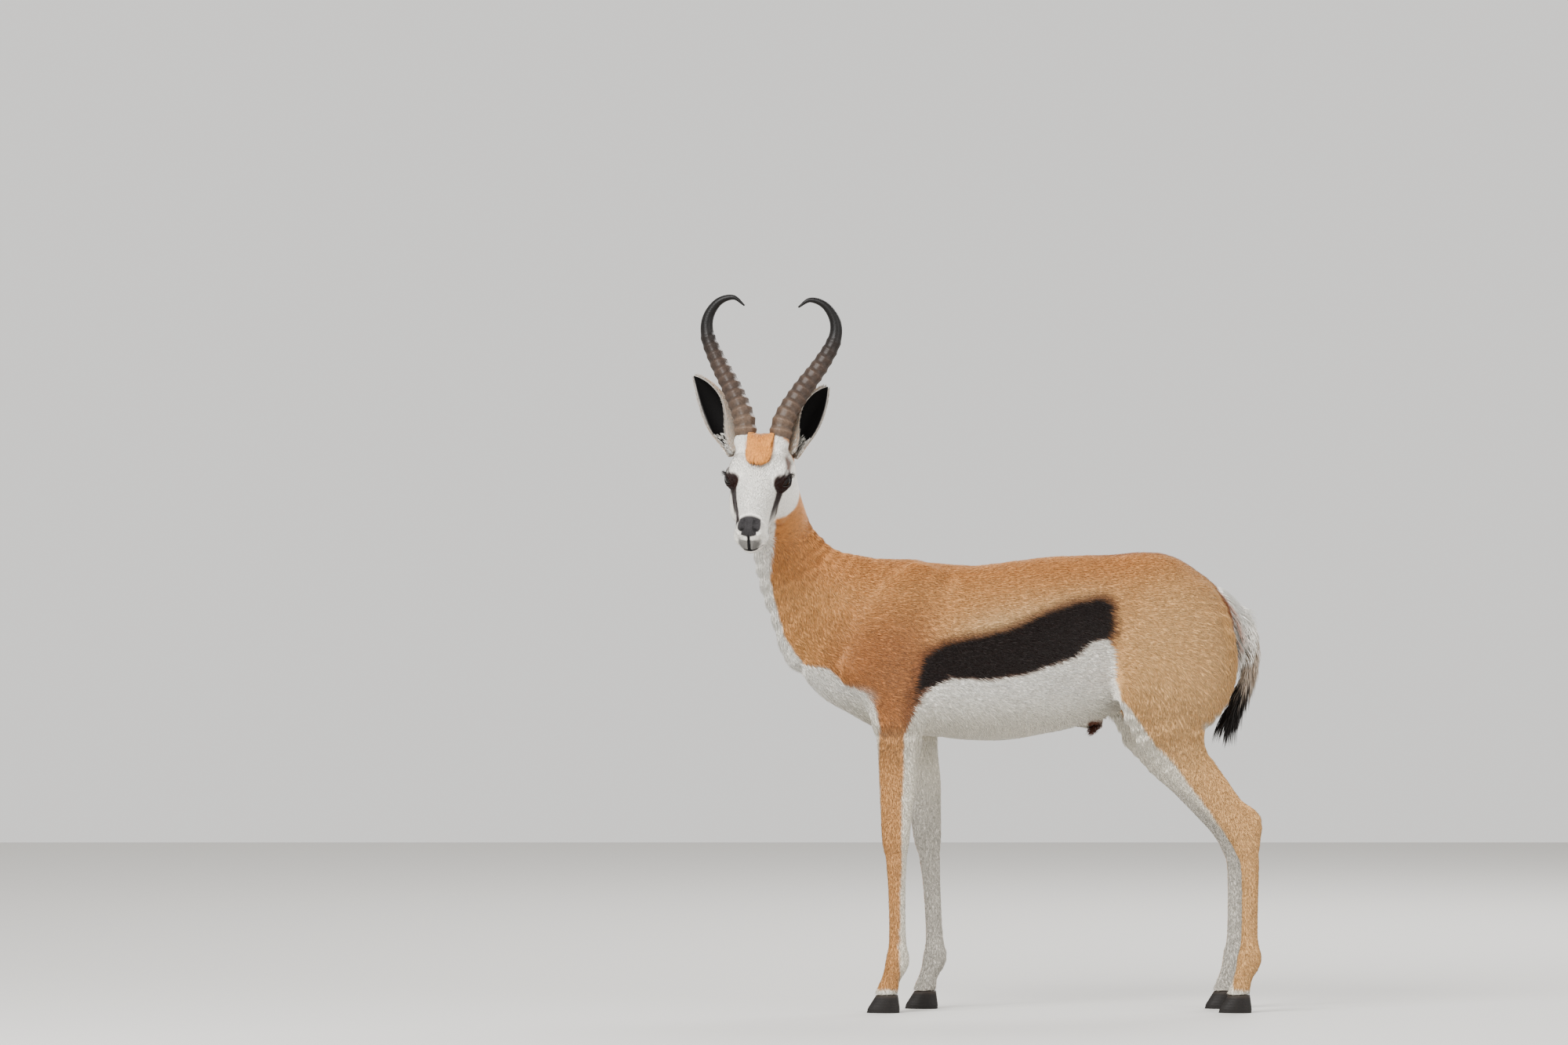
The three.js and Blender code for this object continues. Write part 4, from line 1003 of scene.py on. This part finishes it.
# Each lock passes through a few points: a share of its length along its way, and a lift off that line
def lockPaths(roots, ways, long, stations):
    return np.stack([roots + ways * (long * share)[:, None] + lift for share, lift in stations], axis=1)


# Long hair bakes to one place on the map, where its piece grows
def hairPiece(name, slot, paths, ups, widths, tone, place):
    mesh = bladeMesh(name, paths, ups, widths, tone, place.repeat(len(paths), axis=0))
    pieceFrom(mesh, "fur", slot)


# The cushion of orange hair on the forehead
tuftOptions = {"locks": 2400, "halfWidth": 25, "from": -84, "to": -20, "length": (20, 31), "height": 11.5,
               "width": (1.4, 2.3), "darker": 0.35}


def foreheadTuft():
    n = tuftOptions["locks"]
    s = draws.uniform(-1, 1, n)
    s = tuftOptions["halfWidth"] * s * (1 - 0.25 * s * s)
    l = draws.uniform(tuftOptions["from"], tuftOptions["to"], n)
    keep = np.abs(s) < 28 - 0.004 * (l + 45) ** 2
    s, l = s[keep], l[keep]
    n = len(s)
    up = unit(faceTurn[:, 1])
    starts = surfaceAt(fromHead(np.column_stack([s, np.full(n, 60.0), l])), -up, 1.0)
    side = s / 24
    long = draws.uniform(*tuftOptions["length"], n) * (1 - 0.72 * side ** 2 * ease(-72, -30, l))
    paths = []
    for t in np.linspace(0, 1, 5):
        forward = long * (t - 0.12 * t * t)
        crown = math.sin(math.pi * min(0.12 + 0.82 * t, 1))
        lift = (tuftOptions["height"] * (1 - 0.6 * side ** 2) * crown + 0.8) * t ** 0.5
        fan = side * (7 * t - 9 * t ** 3) + 2.5 * t * np.sin(l / 6 + 2 * side) + draws.normal(0, 0.4, n)
        paths.append(starts + np.column_stack([fan, lift - 1.2 * (t == 0), forward]) @ faceTurn.T)
    tone = layered(evenly("tuft", n), ("chestnut", draws.uniform(0, tuftOptions["darker"], n)))
    tone = tone * draws.uniform(0.8, 1.1, (n, 1))
    place = nearestPlace(starts[0])
    widths = draws.uniform(*tuftOptions["width"], n)
    hairPiece("tuft_forehead", "tan_fur", np.stack(paths, axis=1), np.tile(up, (n, 1)), widths, tone, place)


foreheadTuft()


# A smooth path through given points, cut into equal steps
def curveThrough(points, count):
    points = np.array(points, float)
    whole = np.concatenate([2 * points[:1] - points[1:2], points, 2 * points[-1:] - points[-2:-1]])
    fine = []
    for i in range(len(points) - 1):
        a, b, c, d = whole[i:i + 4]
        for t in np.linspace(0, 1, 30, endpoint=False):
            fine.append(0.5 * (2 * b + (c - a) * t + (2 * a - 5 * b + 4 * c - d) * t ** 2
                               + (3 * b - a - 3 * c + d) * t ** 3))
    fine = np.array(fine + [points[-1]])
    run = np.concatenate([[0], np.cumsum(np.linalg.norm(np.diff(fine, axis=0), axis=1))])
    stops = np.linspace(0, run[-1], count)
    return np.column_stack([np.interp(stops, run, fine[:, k]) for k in range(3)])


def circleAngles(count):
    return np.linspace(0, 2 * math.pi, count, endpoint=False)


def tubeFaces(rings, around, closed=False):
    a = np.arange(rings * around).reshape(rings, around)
    b = np.roll(a, -1, axis=1)
    faces = np.stack([a, b, np.roll(b, -1, axis=0), np.roll(a, -1, axis=0)], axis=2)
    return (faces if closed else faces[:-1]).reshape(-1, 4)


# A closed tube through rings of points, with one colour for each ring or for each point
def closedTube(name, rings, colours):
    count, around, _ = rings.shape
    points = np.concatenate([rings.reshape(-1, 3), rings[:1].mean(1), rings[-1:].mean(1)])
    sides = tubeFaces(count, around)
    hub = count * around
    caps = [[hub, (j + 1) % around, j] for j in range(around)]
    caps += [[hub + 1, hub - around + j, hub - around + (j + 1) % around] for j in range(around)]
    faces = np.concatenate([sides[:, [0, 1, 2]], sides[:, [0, 2, 3]], caps])
    mesh = meshFrom(name, toFrame(points), facingOut(points, faces))
    if colours.ndim == 2:
        colours = np.repeat(colours[:, None], around, axis=1)
    paint(mesh, np.concatenate([colours.reshape(-1, 3), colours[:1, 0], colours[-1:, 0]]))
    return mesh


# Horns: a lyre with raised rings, brown and dull below and black and smooth at the tip
hornPath = [[24.5, -2, -16], [28.6, 0, 0], [35, 8, 35], [58, 28, 80], [88, 49, 127], [108, 60, 168],
            [109, 62, 200], [92, 60, 227], [66, 57, 236], [46, 54, 223]]
hornOptions = {"base": (0, 35, 68), "radius": 18.5, "tip": 0.9, "rings": 12, "ringsFrom": 0.06,
               "ringsTo": 0.66, "ringHeight": 2.6, "around": 48, "steps": 300}


def hornMesh(name, side):
    t = np.linspace(0, 1, hornOptions["steps"])
    path = np.array(hornPath) + hornOptions["base"]
    path[:, 0] *= side
    centres = curveThrough(fromUpright(path), hornOptions["steps"])
    along = unit(np.gradient(centres, axis=0))
    across = unit(np.cross([0, 1, 0], along))
    upward = np.cross(along, across)
    start, ringed, height = (hornOptions[key] for key in ("ringsFrom", "ringsTo", "ringHeight"))
    phase = ((t - start) / (ringed - start) * hornOptions["rings"]) % 1
    ridge = np.where(phase < 0.62, (phase / 0.62) ** 1.6, ((1 - phase) / 0.38) ** 1.2)
    ridge = ridge * (t > start) * (t < ringed) * height * (1 - 0.5 * t / ringed)
    angles = circleAngles(hornOptions["around"])
    rough = 0.25 * np.sin(angles * 9 + 3 * side)[None] * (1 - t[:, None]) * (t[:, None] < ringed)
    r = np.maximum(hornOptions["radius"] * (1 - 0.3 * t - 0.62 * t ** 3), hornOptions["tip"]) + ridge
    r = r[:, None] * (0.97 + 0.03 * np.cos(angles - 0.6)[None]) + rough
    rings = centres[:, None] + across[:, None] * (np.cos(angles) * r)[..., None]
    rings = rings + upward[:, None] * (np.sin(angles) * r * 1.08)[..., None]
    tone = layered(evenly("hornFoot", len(t)), ("hornMiddle", ease(0, 0.35, t)),
                   ("hornTip", ease(0.42, 0.72, t)))
    # The colour is painted darker in the grooves between the rings as painted shade and lighter on their
    # crests as painted light.
    return closedTube(name, rings, tone * (0.6 + 0.5 * ridge / height + 0.2 * (t > ringed))[:, None])


for name, side in headSides.items():
    pieceFrom(hornMesh("ram_horn_" + name, side), "horn", "horn", "horn_" + name)
report("horns")

# Ears: leaf-shaped cups, pale outside, black inside, with hair along the rim
earSections = np.array([[0, 11, 150], [0.1, 13.5, 150], [0.22, 17, 138], [0.38, 21.5, 112], [0.55, 24, 96],
                        [0.7, 22.5, 88], [0.84, 17, 80], [0.94, 9.5, 70], [1, 2.6, 60]],
                       float)  # share of the height, radius, angle from the middle of the back to the edge
earOptions = {
    "root": (50, 52, 40), "tips": {"left": (100, 98, 158), "right": (130, 96, 168)},
    "wider": {"left": 1.0, "right": 1.16}, "thickness": 2.4, "bend": 7, "rows": 60, "fan": 30,
    "backHairs": 3600, "rimHairs": 700, "footHairs": 300,
}


def earMesh(name, side):
    (rootOut, *root), (tipOut, *tip) = earOptions["root"], earOptions["tips"][name]
    root, tip = fromUpright([side * rootOut, *root]), fromUpright([side * tipOut, *tip])
    axis = tip - root
    forwards = fromUpright([side * 0.62, -0.78, 0]) - eyeMiddle
    opened = unit(forwards - axis * (forwards @ axis) / (axis @ axis))
    across = np.cross(unit(axis), opened)
    t = np.linspace(0, 1, earOptions["rows"])
    sections = rowsAt(earSections, t)
    radius = sections[:, 1] * (1 + (earOptions["wider"][name] - 1) * np.sin(math.pi * t))
    reach = np.radians(sections[:, 2])
    centre = root + axis * t[:, None] + opened * (-earOptions["bend"] * np.sin(math.pi * t))[:, None]
    r = radius / np.sin(np.minimum(reach, math.pi / 2))
    base = centre + opened * ((r - radius) * 0.6)[:, None]
    fan = np.linspace(-1, 1, earOptions["fan"])

    def sheet(size, turn):
        angle = reach[:, None] * turn[None]
        return (base[:, None] - opened * (size[:, None] * np.cos(angle))[..., None]
                + across * (size[:, None] * np.sin(angle))[..., None])

    outer, inner = sheet(r, fan), sheet(np.maximum(r - earOptions["thickness"], 0.5), -fan)
    # Black inside, but for a grey band along the edge next to the head
    dark = ease(0.98, 0.9, np.abs(fan))[None] * ease(0.02, 0.2, t)[:, None]
    middle = len(t) // 2
    towardHead = np.sign(np.abs(toHead(outer[middle, -1])[0]) - np.abs(toHead(outer[middle, 0])[0]))
    fromInner = (1 + fan[::-1] * towardHead) / 2
    dark = dark * ease(-0.03, 0.05, fromInner[None] - 0.1 - 0.34 * ease(0.85, 0.2, t)[:, None])
    backTone = evenly("earBack", *dark.shape)
    insideTone = layered(evenly("grey", *dark.shape), ("earInside", dark))
    mesh = closedTube("ear_cup_" + name, np.concatenate([outer, inner], axis=1),
                      np.concatenate([backTone, insideTone], axis=1))
    return mesh, outer, inner, axis, opened


def earHair(name, outer, inner, axis, opened):
    rows, fan = outer.shape[:2]
    n, m, f = (earOptions[key] for key in ("backHairs", "rimHairs", "footHairs"))
    i, j = draws.uniform(1, rows - 2, n).astype(int), draws.uniform(0, fan - 1, n).astype(int)
    roots = outer[i, j]
    ups = unit(roots - outer.mean(1)[i])
    lie = unit(np.tile(axis, (n, 1)) + draws.normal(0, 6, (n, 3)))
    long = draws.uniform(4, 7, n)
    backPaths = lockPaths(roots, lie, long, [(0, -ups * 0.4), (0.5, ups * 0.5), (1, ups * 0.7)])
    backTone = layered(evenly("earBack", n), ("tan", draws.uniform(0, 0.5, n)))
    # The rims
    k, edge = draws.integers(1, rows - 1, m), draws.integers(0, 2, m) * (fan - 1)
    rim = outer[k, edge]
    inward = unit(outer[k].mean(1) + opened * 14 - rim)
    long = draws.uniform(3, 6.5, m)
    ways = unit(axis) + inward * draws.uniform(-0.1, 0.4, (m, 1)) + draws.normal(0, 0.12, (m, 3))
    rimPaths = lockPaths(rim, unit(ways), long, [(0, -inward * 0.3), (0.5, inward), (1, inward * 1.6)])
    rimTone = evenly("earBack", m) * draws.uniform(0.8, 1.15, (m, 1))
    # The white hair that fills the foot of the cup
    k, j = draws.integers(0, 18, f), draws.integers(2, 12, f)
    flip = draws.random(f) < 0.5
    foot = inner[k, np.where(flip, fan - 1 - j, j)]
    long = draws.uniform(8, 15, f) * (1 - k / 45)
    ways = unit(unit(axis) + opened * 0.4 + draws.normal(0, 0.12, (f, 3)))
    footPaths = lockPaths(foot, ways, long, [(0, 0), (0.5, opened), (1, opened * 1.5)])
    footTone = evenly("white", f) * draws.uniform(0.8, 1, (f, 1))
    widths = [draws.uniform(0.9, 1.5, n), draws.uniform(0.8, 1.3, m), draws.uniform(1.0, 1.6, f)]
    hairPiece("ear_hair_" + name, "ear_fur", np.concatenate([backPaths, rimPaths, footPaths]),
              np.concatenate([ups, np.tile(opened, (m + f, 1))]), np.concatenate(widths),
              np.concatenate([backTone, rimTone, footTone]), nearestPlace(outer[0].mean(0)))


for name, side in headSides.items():
    mesh, *cup = earMesh(name, side)
    pieceFrom(mesh, "skin", "ear_fur", "ear_" + name)
    earHair(name, *cup)
report("ears")

# Eyes: dark brown balls with a bulging cornea and a level pupil, wet lid rims and lashes
eyeOptions = {"rings": 60, "around": 64, "bulge": 0.9, "pupil": (6.2, 3.4), "iris": 11.5, "rimSteps": 72,
              "rimAround": 10, "rimRadius": 1.5, "lashes": 60, "lashLength": (7, 12), "lashWidth": 0.7}


def eyeball(name, centre, outward, along, across):
    polar = np.linspace(0.001, math.pi - 0.001, eyeOptions["rings"])
    turn = circleAngles(eyeOptions["around"])
    reach = eyeRadius - 0.15 + eyeOptions["bulge"] * ease(0.75, 0.2, polar)
    ring = (outward * np.cos(polar)[:, None])[:, None] + np.sin(polar)[:, None, None] * (
        along * np.cos(turn)[:, None] + across * np.sin(turn)[:, None])[None]
    u, v = (ring @ along) * eyeRadius, (ring @ across) * eyeRadius
    long, high = eyeOptions["pupil"]
    tone = layered(evenly("eye", *ring.shape[:2]),
                   ("iris", ease(eyeOptions["iris"], eyeOptions["iris"] - 1.3, np.hypot(u, v))),
                   ("pupil", ease(1.15, 0.85, np.hypot(u / long, v / high))))
    ball = closedTube("eyeball_" + name, centre + ring * reach[:, None, None], tone)
    pieceFrom(ball, "eye", "eye", "eye_" + name)


def lidRim(name, centre, outward, along, across):
    turn = circleAngles(eyeOptions["rimSteps"])
    u = np.cos(turn) * lidOptions["long"]
    v = np.sin(turn) * lidOptions["high"] * (1 - lidOptions["lean"] * np.cos(turn))
    w = np.sqrt(np.maximum((eyeRadius + 1.0) ** 2 - u ** 2 - v ** 2, 1))
    edge = centre + outward * w[:, None] + along * u[:, None] + across * v[:, None]
    tangent = unit(np.roll(edge, -1, 0) - np.roll(edge, 1, 0))
    radial = unit(edge - centre)
    beside = np.cross(tangent, radial)
    circle = circleAngles(eyeOptions["rimAround"])[None, :, None]
    tube = edge[:, None] + eyeOptions["rimRadius"] * (
        radial[:, None] * np.cos(circle) + beside[:, None] * np.sin(circle))
    flat = tube.reshape(-1, 3)
    faces = facingOut(flat - centre, tubeFaces(*tube.shape[:2], closed=True))
    mesh = meshFrom("lid_rim_" + name, toFrame(flat), faces)
    paint(mesh, evenly("lidRim", len(flat)))
    pieceFrom(mesh, "lidRim", "eye")
    return edge


def lashes(name, centre, edge):
    n = eyeOptions["lashes"]
    raised = unit(faceTurn[:, 1] - faceTurn[:, 2] * 0.6)
    upper = np.argsort(-((edge - centre) @ raised))[:n // 2]
    roots = np.repeat(edge[upper], 2, axis=0) + draws.normal(0, 0.5, (n, 3))
    ways = unit(unit(roots - centre) + raised * 0.35 + draws.normal(0, 0.12, (n, 3)))
    long = draws.uniform(*eyeOptions["lashLength"], n)
    drop = np.array([0, 0, -1.0])
    paths = lockPaths(roots, ways, long, [(0, 0), (0.35, 0), (0.7, drop * 0.8), (1, drop * 3)])
    hairPiece("lash_" + name, "tan_fur", paths, unit(ways + 0.3), np.full(n, eyeOptions["lashWidth"]),
              evenly("lash", n), nearestPlace(edge[0]))


for name, side in headSides.items():
    axes = lidAxes(side)
    eyeball(name, *axes)
    lashes(name, axes[0], lidRim(name, *axes))
report("eyes")

# Hooves: each claw a finer wedge with growth lines, on the same flat sole
clawOutline = [[-33, 3], [-24, 9.5], [-10, 14.5], [6, 16], [17, 13], [22, 7], [20, 1.5], [0, 1.5], [-22, 1.5]]
clawOptions = {"height": 30, "levels": 22, "steps": 72, "groove": 0.006, "gap": 1.2}
feet = {"fore_left": (-150, -62, noShift), "fore_right": (-150, 62, farFore),
        "hind_left": (446, -62, noShift), "hind_right": (446, 62, farHind)}


def clawMesh(name, x, y, inward):
    outline = curveThrough([[*point, 0] for point in clawOutline + clawOutline[:1]], clawOptions["steps"] + 1)
    outline = outline[:-1, :2]
    outline[:, 1] = np.maximum(outline[:, 1], clawOptions["gap"])
    levels = np.linspace(0, 1, clawOptions["levels"])
    # At the sole, at a quarter of the height and at the top
    long, wide, back = (np.interp(levels, [0, 0.25, 1], values)
                        for values in ([1, 0.97, 0.66], [1, 1.02, 1.08], [0, 1, 5]))
    groove = 1 + clawOptions["groove"] * np.sin(levels * 40) * (levels > 0.05)
    rings = np.stack([
        x + outline[None, :, 0] * (long * groove)[:, None] + back[:, None],
        y + inward * outline[None, :, 1] * (wide * groove)[:, None],
        np.repeat((levels * clawOptions["height"])[:, None], len(outline), axis=1),
    ], axis=-1)
    tone = layered(evenly("hoof", len(levels)), ("hoofTop", ease(0.75, 1, levels) * 0.7))
    return closedTube(name, rings, tone)


for foot, (x, y, shift) in feet.items():
    ankle = x + float(shift(np.float64(clawOptions["height"])))
    for place, inward in (("outer", np.sign(y)), ("inner", -np.sign(y))):
        mesh = clawMesh(f"claw_{foot}_{place}", ankle, y, inward)
        pieceFrom(mesh, "hoof", "hoof", f"hoof_{foot}_{place}")
report("hooves")

# The tail: a thin shaft with brownish hair that ends in a dark tuft
tailPath = [[408, 0, 690], [448, 0, 672], [467, -2, 628], [466, -3, 580], [452, -4, 540], [440, -5, 512]]
tailOptions = {"radii": [11, 11, 9.5, 7.5, 6, 3], "rings": 60, "around": 24, "locks": 2600,
               "length": (18, 30), "longer": [0.8, 1, 1.5, 2.3], "width": (1.5, 2.6)}


def tailPieces():
    count, n = tailOptions["rings"], tailOptions["locks"]
    centres = curveThrough(tailPath, count)
    along = unit(np.gradient(centres, axis=0))
    across = np.array([0, 1.0, 0])
    upward = unit(np.cross(along, across))
    t = np.linspace(0, 1, count)
    r = np.interp(t, np.linspace(0, 1, len(tailOptions["radii"])), tailOptions["radii"])[:, None]
    angles = circleAngles(tailOptions["around"])
    rings = centres[:, None] + across * (np.cos(angles) * r)[..., None]
    rings = rings + upward[:, None] * (np.sin(angles) * r)[..., None]
    tone = layered(evenly("white", count), ("tail", ease(0.3, 0.6, t)), ("tailTuft", ease(0.85, 0.95, t)))
    pieceFrom(closedTube("tail_shaft", rings, tone), "skin", "tail_fur", "tail")
    i, j = draws.integers(4, count, n), draws.integers(0, tailOptions["around"], n)
    roots = rings[i, j]
    ups = unit(roots - centres[i])
    longer = np.interp(t[i], [0, 0.5, 0.75, 1], tailOptions["longer"])
    long = draws.uniform(*tailOptions["length"], n) * longer
    down = unit(along[i] + ups * 0.28 + draws.normal(0, 0.07, (n, 3)))
    fall = np.array([0, 0, -1.0])
    paths = lockPaths(roots, down, long, [(0, -ups), (0.3, 0), (0.62, fall * 1.5), (1, 0)])
    paths[:, -1] = roots + unit(down + fall * 0.25) * long[:, None] + fall * 3
    tone = layered(evenly("white", n), ("tail", ease(0.2, 0.5, t[i]) * (0.6 + 0.4 * draws.random(n))),
                   ("tailTuft", ease(0.66, 0.8, t[i] + draws.normal(0, 0.04, n))))
    hairPiece("tail_hair", "tail_fur", paths, ups, draws.uniform(*tailOptions["width"], n), tone,
              nearestPlace(centres[0]))


# The white fringe of the rump, and the dark hair of the sheath
fringeOptions = {"locks": 1500, "from": 520, "to": 716, "middle": 610, "halfHeight": 125, "halfWidth": 44,
                 "length": (24, 38), "width": (2.2, 3.4)}
sheathOptions = {"locks": 130, "x": 203, "length": (9, 19), "width": 1.8}


def rumpFringe():
    n = fringeOptions["locks"]
    z = draws.uniform(fringeOptions["from"], fringeOptions["to"], n)
    rise = (z - fringeOptions["middle"]) / fringeOptions["halfHeight"]
    arch = np.sqrt(np.clip(1 - rise ** 2, 0.05, 1))
    y = draws.uniform(-1, 1, n) * fringeOptions["halfWidth"] * arch
    starts = surfaceAt(np.column_stack([np.full(n, 500.0), y, z]), (-1.0, 0, 0), 4.0)
    keep = starts[:, 0] > 380
    starts, y, arch = starts[keep], y[keep], arch[keep]
    n = len(starts)
    ups = unit(np.column_stack([np.ones(n), y / 60, np.full(n, 0.25)]))
    long = draws.uniform(*fringeOptions["length"], n)
    hanging = np.column_stack([np.full(n, 0.32), y / 150, np.full(n, -1.0)])
    ways = unit(hanging + draws.normal(0, 0.07, (n, 3)))
    paths = lockPaths(starts, ways, long, [(0, -ups), (0.3, ups * 4.5), (0.68, ups * 6.5), (1, ups * 4.5)])
    tone = evenly("white", n) * draws.uniform(0.86, 1, (n, 1))
    tone = layered(tone, ("chestnut", ease(30, 44, np.abs(y) / arch) * 0.7))
    hairPiece("rump_fringe", "white_fur", paths, ups, draws.uniform(*fringeOptions["width"], n), tone,
              nearestPlace(starts[0]))


def sheathTuft():
    n = sheathOptions["locks"]
    x = sheathOptions["x"] + 11 * draws.normal(0, 0.5, n)
    starts = np.column_stack([x, draws.uniform(-7, 7, n), np.full(n, 470.0)])
    starts = surfaceAt(starts, (0, 0, 1.0), 3.0)
    long = draws.uniform(*sheathOptions["length"], n) * ease(22, 2, np.abs(x - sheathOptions["x"]))
    ways = unit(np.tile([-0.25, 0, -1.0], (n, 1)) + draws.normal(0, 0.16, (n, 3)))
    paths = lockPaths(starts, ways, long, [(0, 0), (0.4, 0), (0.75, 0), (1, np.array([-2, 0, 0]))])
    tone = evenly("bandEdge", n) * draws.uniform(0.4, 1, (n, 1))
    hairPiece("sheath_tuft", "tan_fur", paths, np.tile([1.0, 0, 0], (n, 1)),
              np.full(n, sheathOptions["width"]), tone, nearestPlace(starts[0]))


tailPieces()
rumpFringe()
sheathTuft()
report("tail and fringes")

# The camera, floor and light
stageOptions = {
    "aim": (-0.33, 0.036, 0.829), "distance": 25.0, "elevation": 1.5, "width": 2.66, "sensor": 36,
    "floor": [(-6, -3, 0), (6, -3, 0), (6, 6, 0), (-6, 6, 0)], "floorColour": (0.62, 0.61, 0.59, 1),
    "lightsAim": (0, 0, 0.6), "world": (1.0, 0.985, 0.96, 1), "worldStrength": 0.78,
    "lights": {"key": ((-2.2, -3.2, 3.4), 2.4, 215), "fill": ((3.2, -2.6, 2.0), 3.0, 60),
               "rim": ((1.5, 3.2, 3.2), 2.4, 110)},  # place, size, power
}
floor = shown("floor", meshFrom("floor", stageOptions["floor"], [[0, 1, 2, 3]]))
floorLook = {"Base Color": stageOptions["floorColour"], "Roughness": 0.9}
floor.data.materials.append(materialOf("floor", floorLook, painted=False))


def turnTowards(thing, target):
    thing.rotation_euler = (Vector(target) - thing.location).to_track_quat("-Z", "Y").to_euler()


camera = shown("camera", bpy.data.cameras.new("camera"))
camera.data.sensor_width = stageOptions["sensor"]
camera.data.lens = stageOptions["sensor"] * stageOptions["distance"] / stageOptions["width"]
camera.data.clip_end = 100
lean = math.radians(stageOptions["elevation"])
back = Vector((0, -math.cos(lean), math.sin(lean)))
camera.location = Vector(stageOptions["aim"]) + back * stageOptions["distance"]
turnTowards(camera, stageOptions["aim"])

for name, (place, size, power) in stageOptions["lights"].items():
    light = shown(name, bpy.data.lights.new(name, "AREA"))
    light.data.size = size
    light.data.energy = power
    light.location = place
    turnTowards(light, stageOptions["lightsAim"])
world = bpy.data.worlds.new("world")
world.use_nodes = True
background = world.node_tree.nodes["Background"]
background.inputs["Color"].default_value = stageOptions["world"]
background.inputs["Strength"].default_value = stageOptions["worldStrength"]
scene = bpy.context.scene
scene.camera = camera
scene.world = world
scene.view_settings.view_transform = "AgX"
scene.view_settings.look = "AgX - Medium High Contrast"
report("stage set")
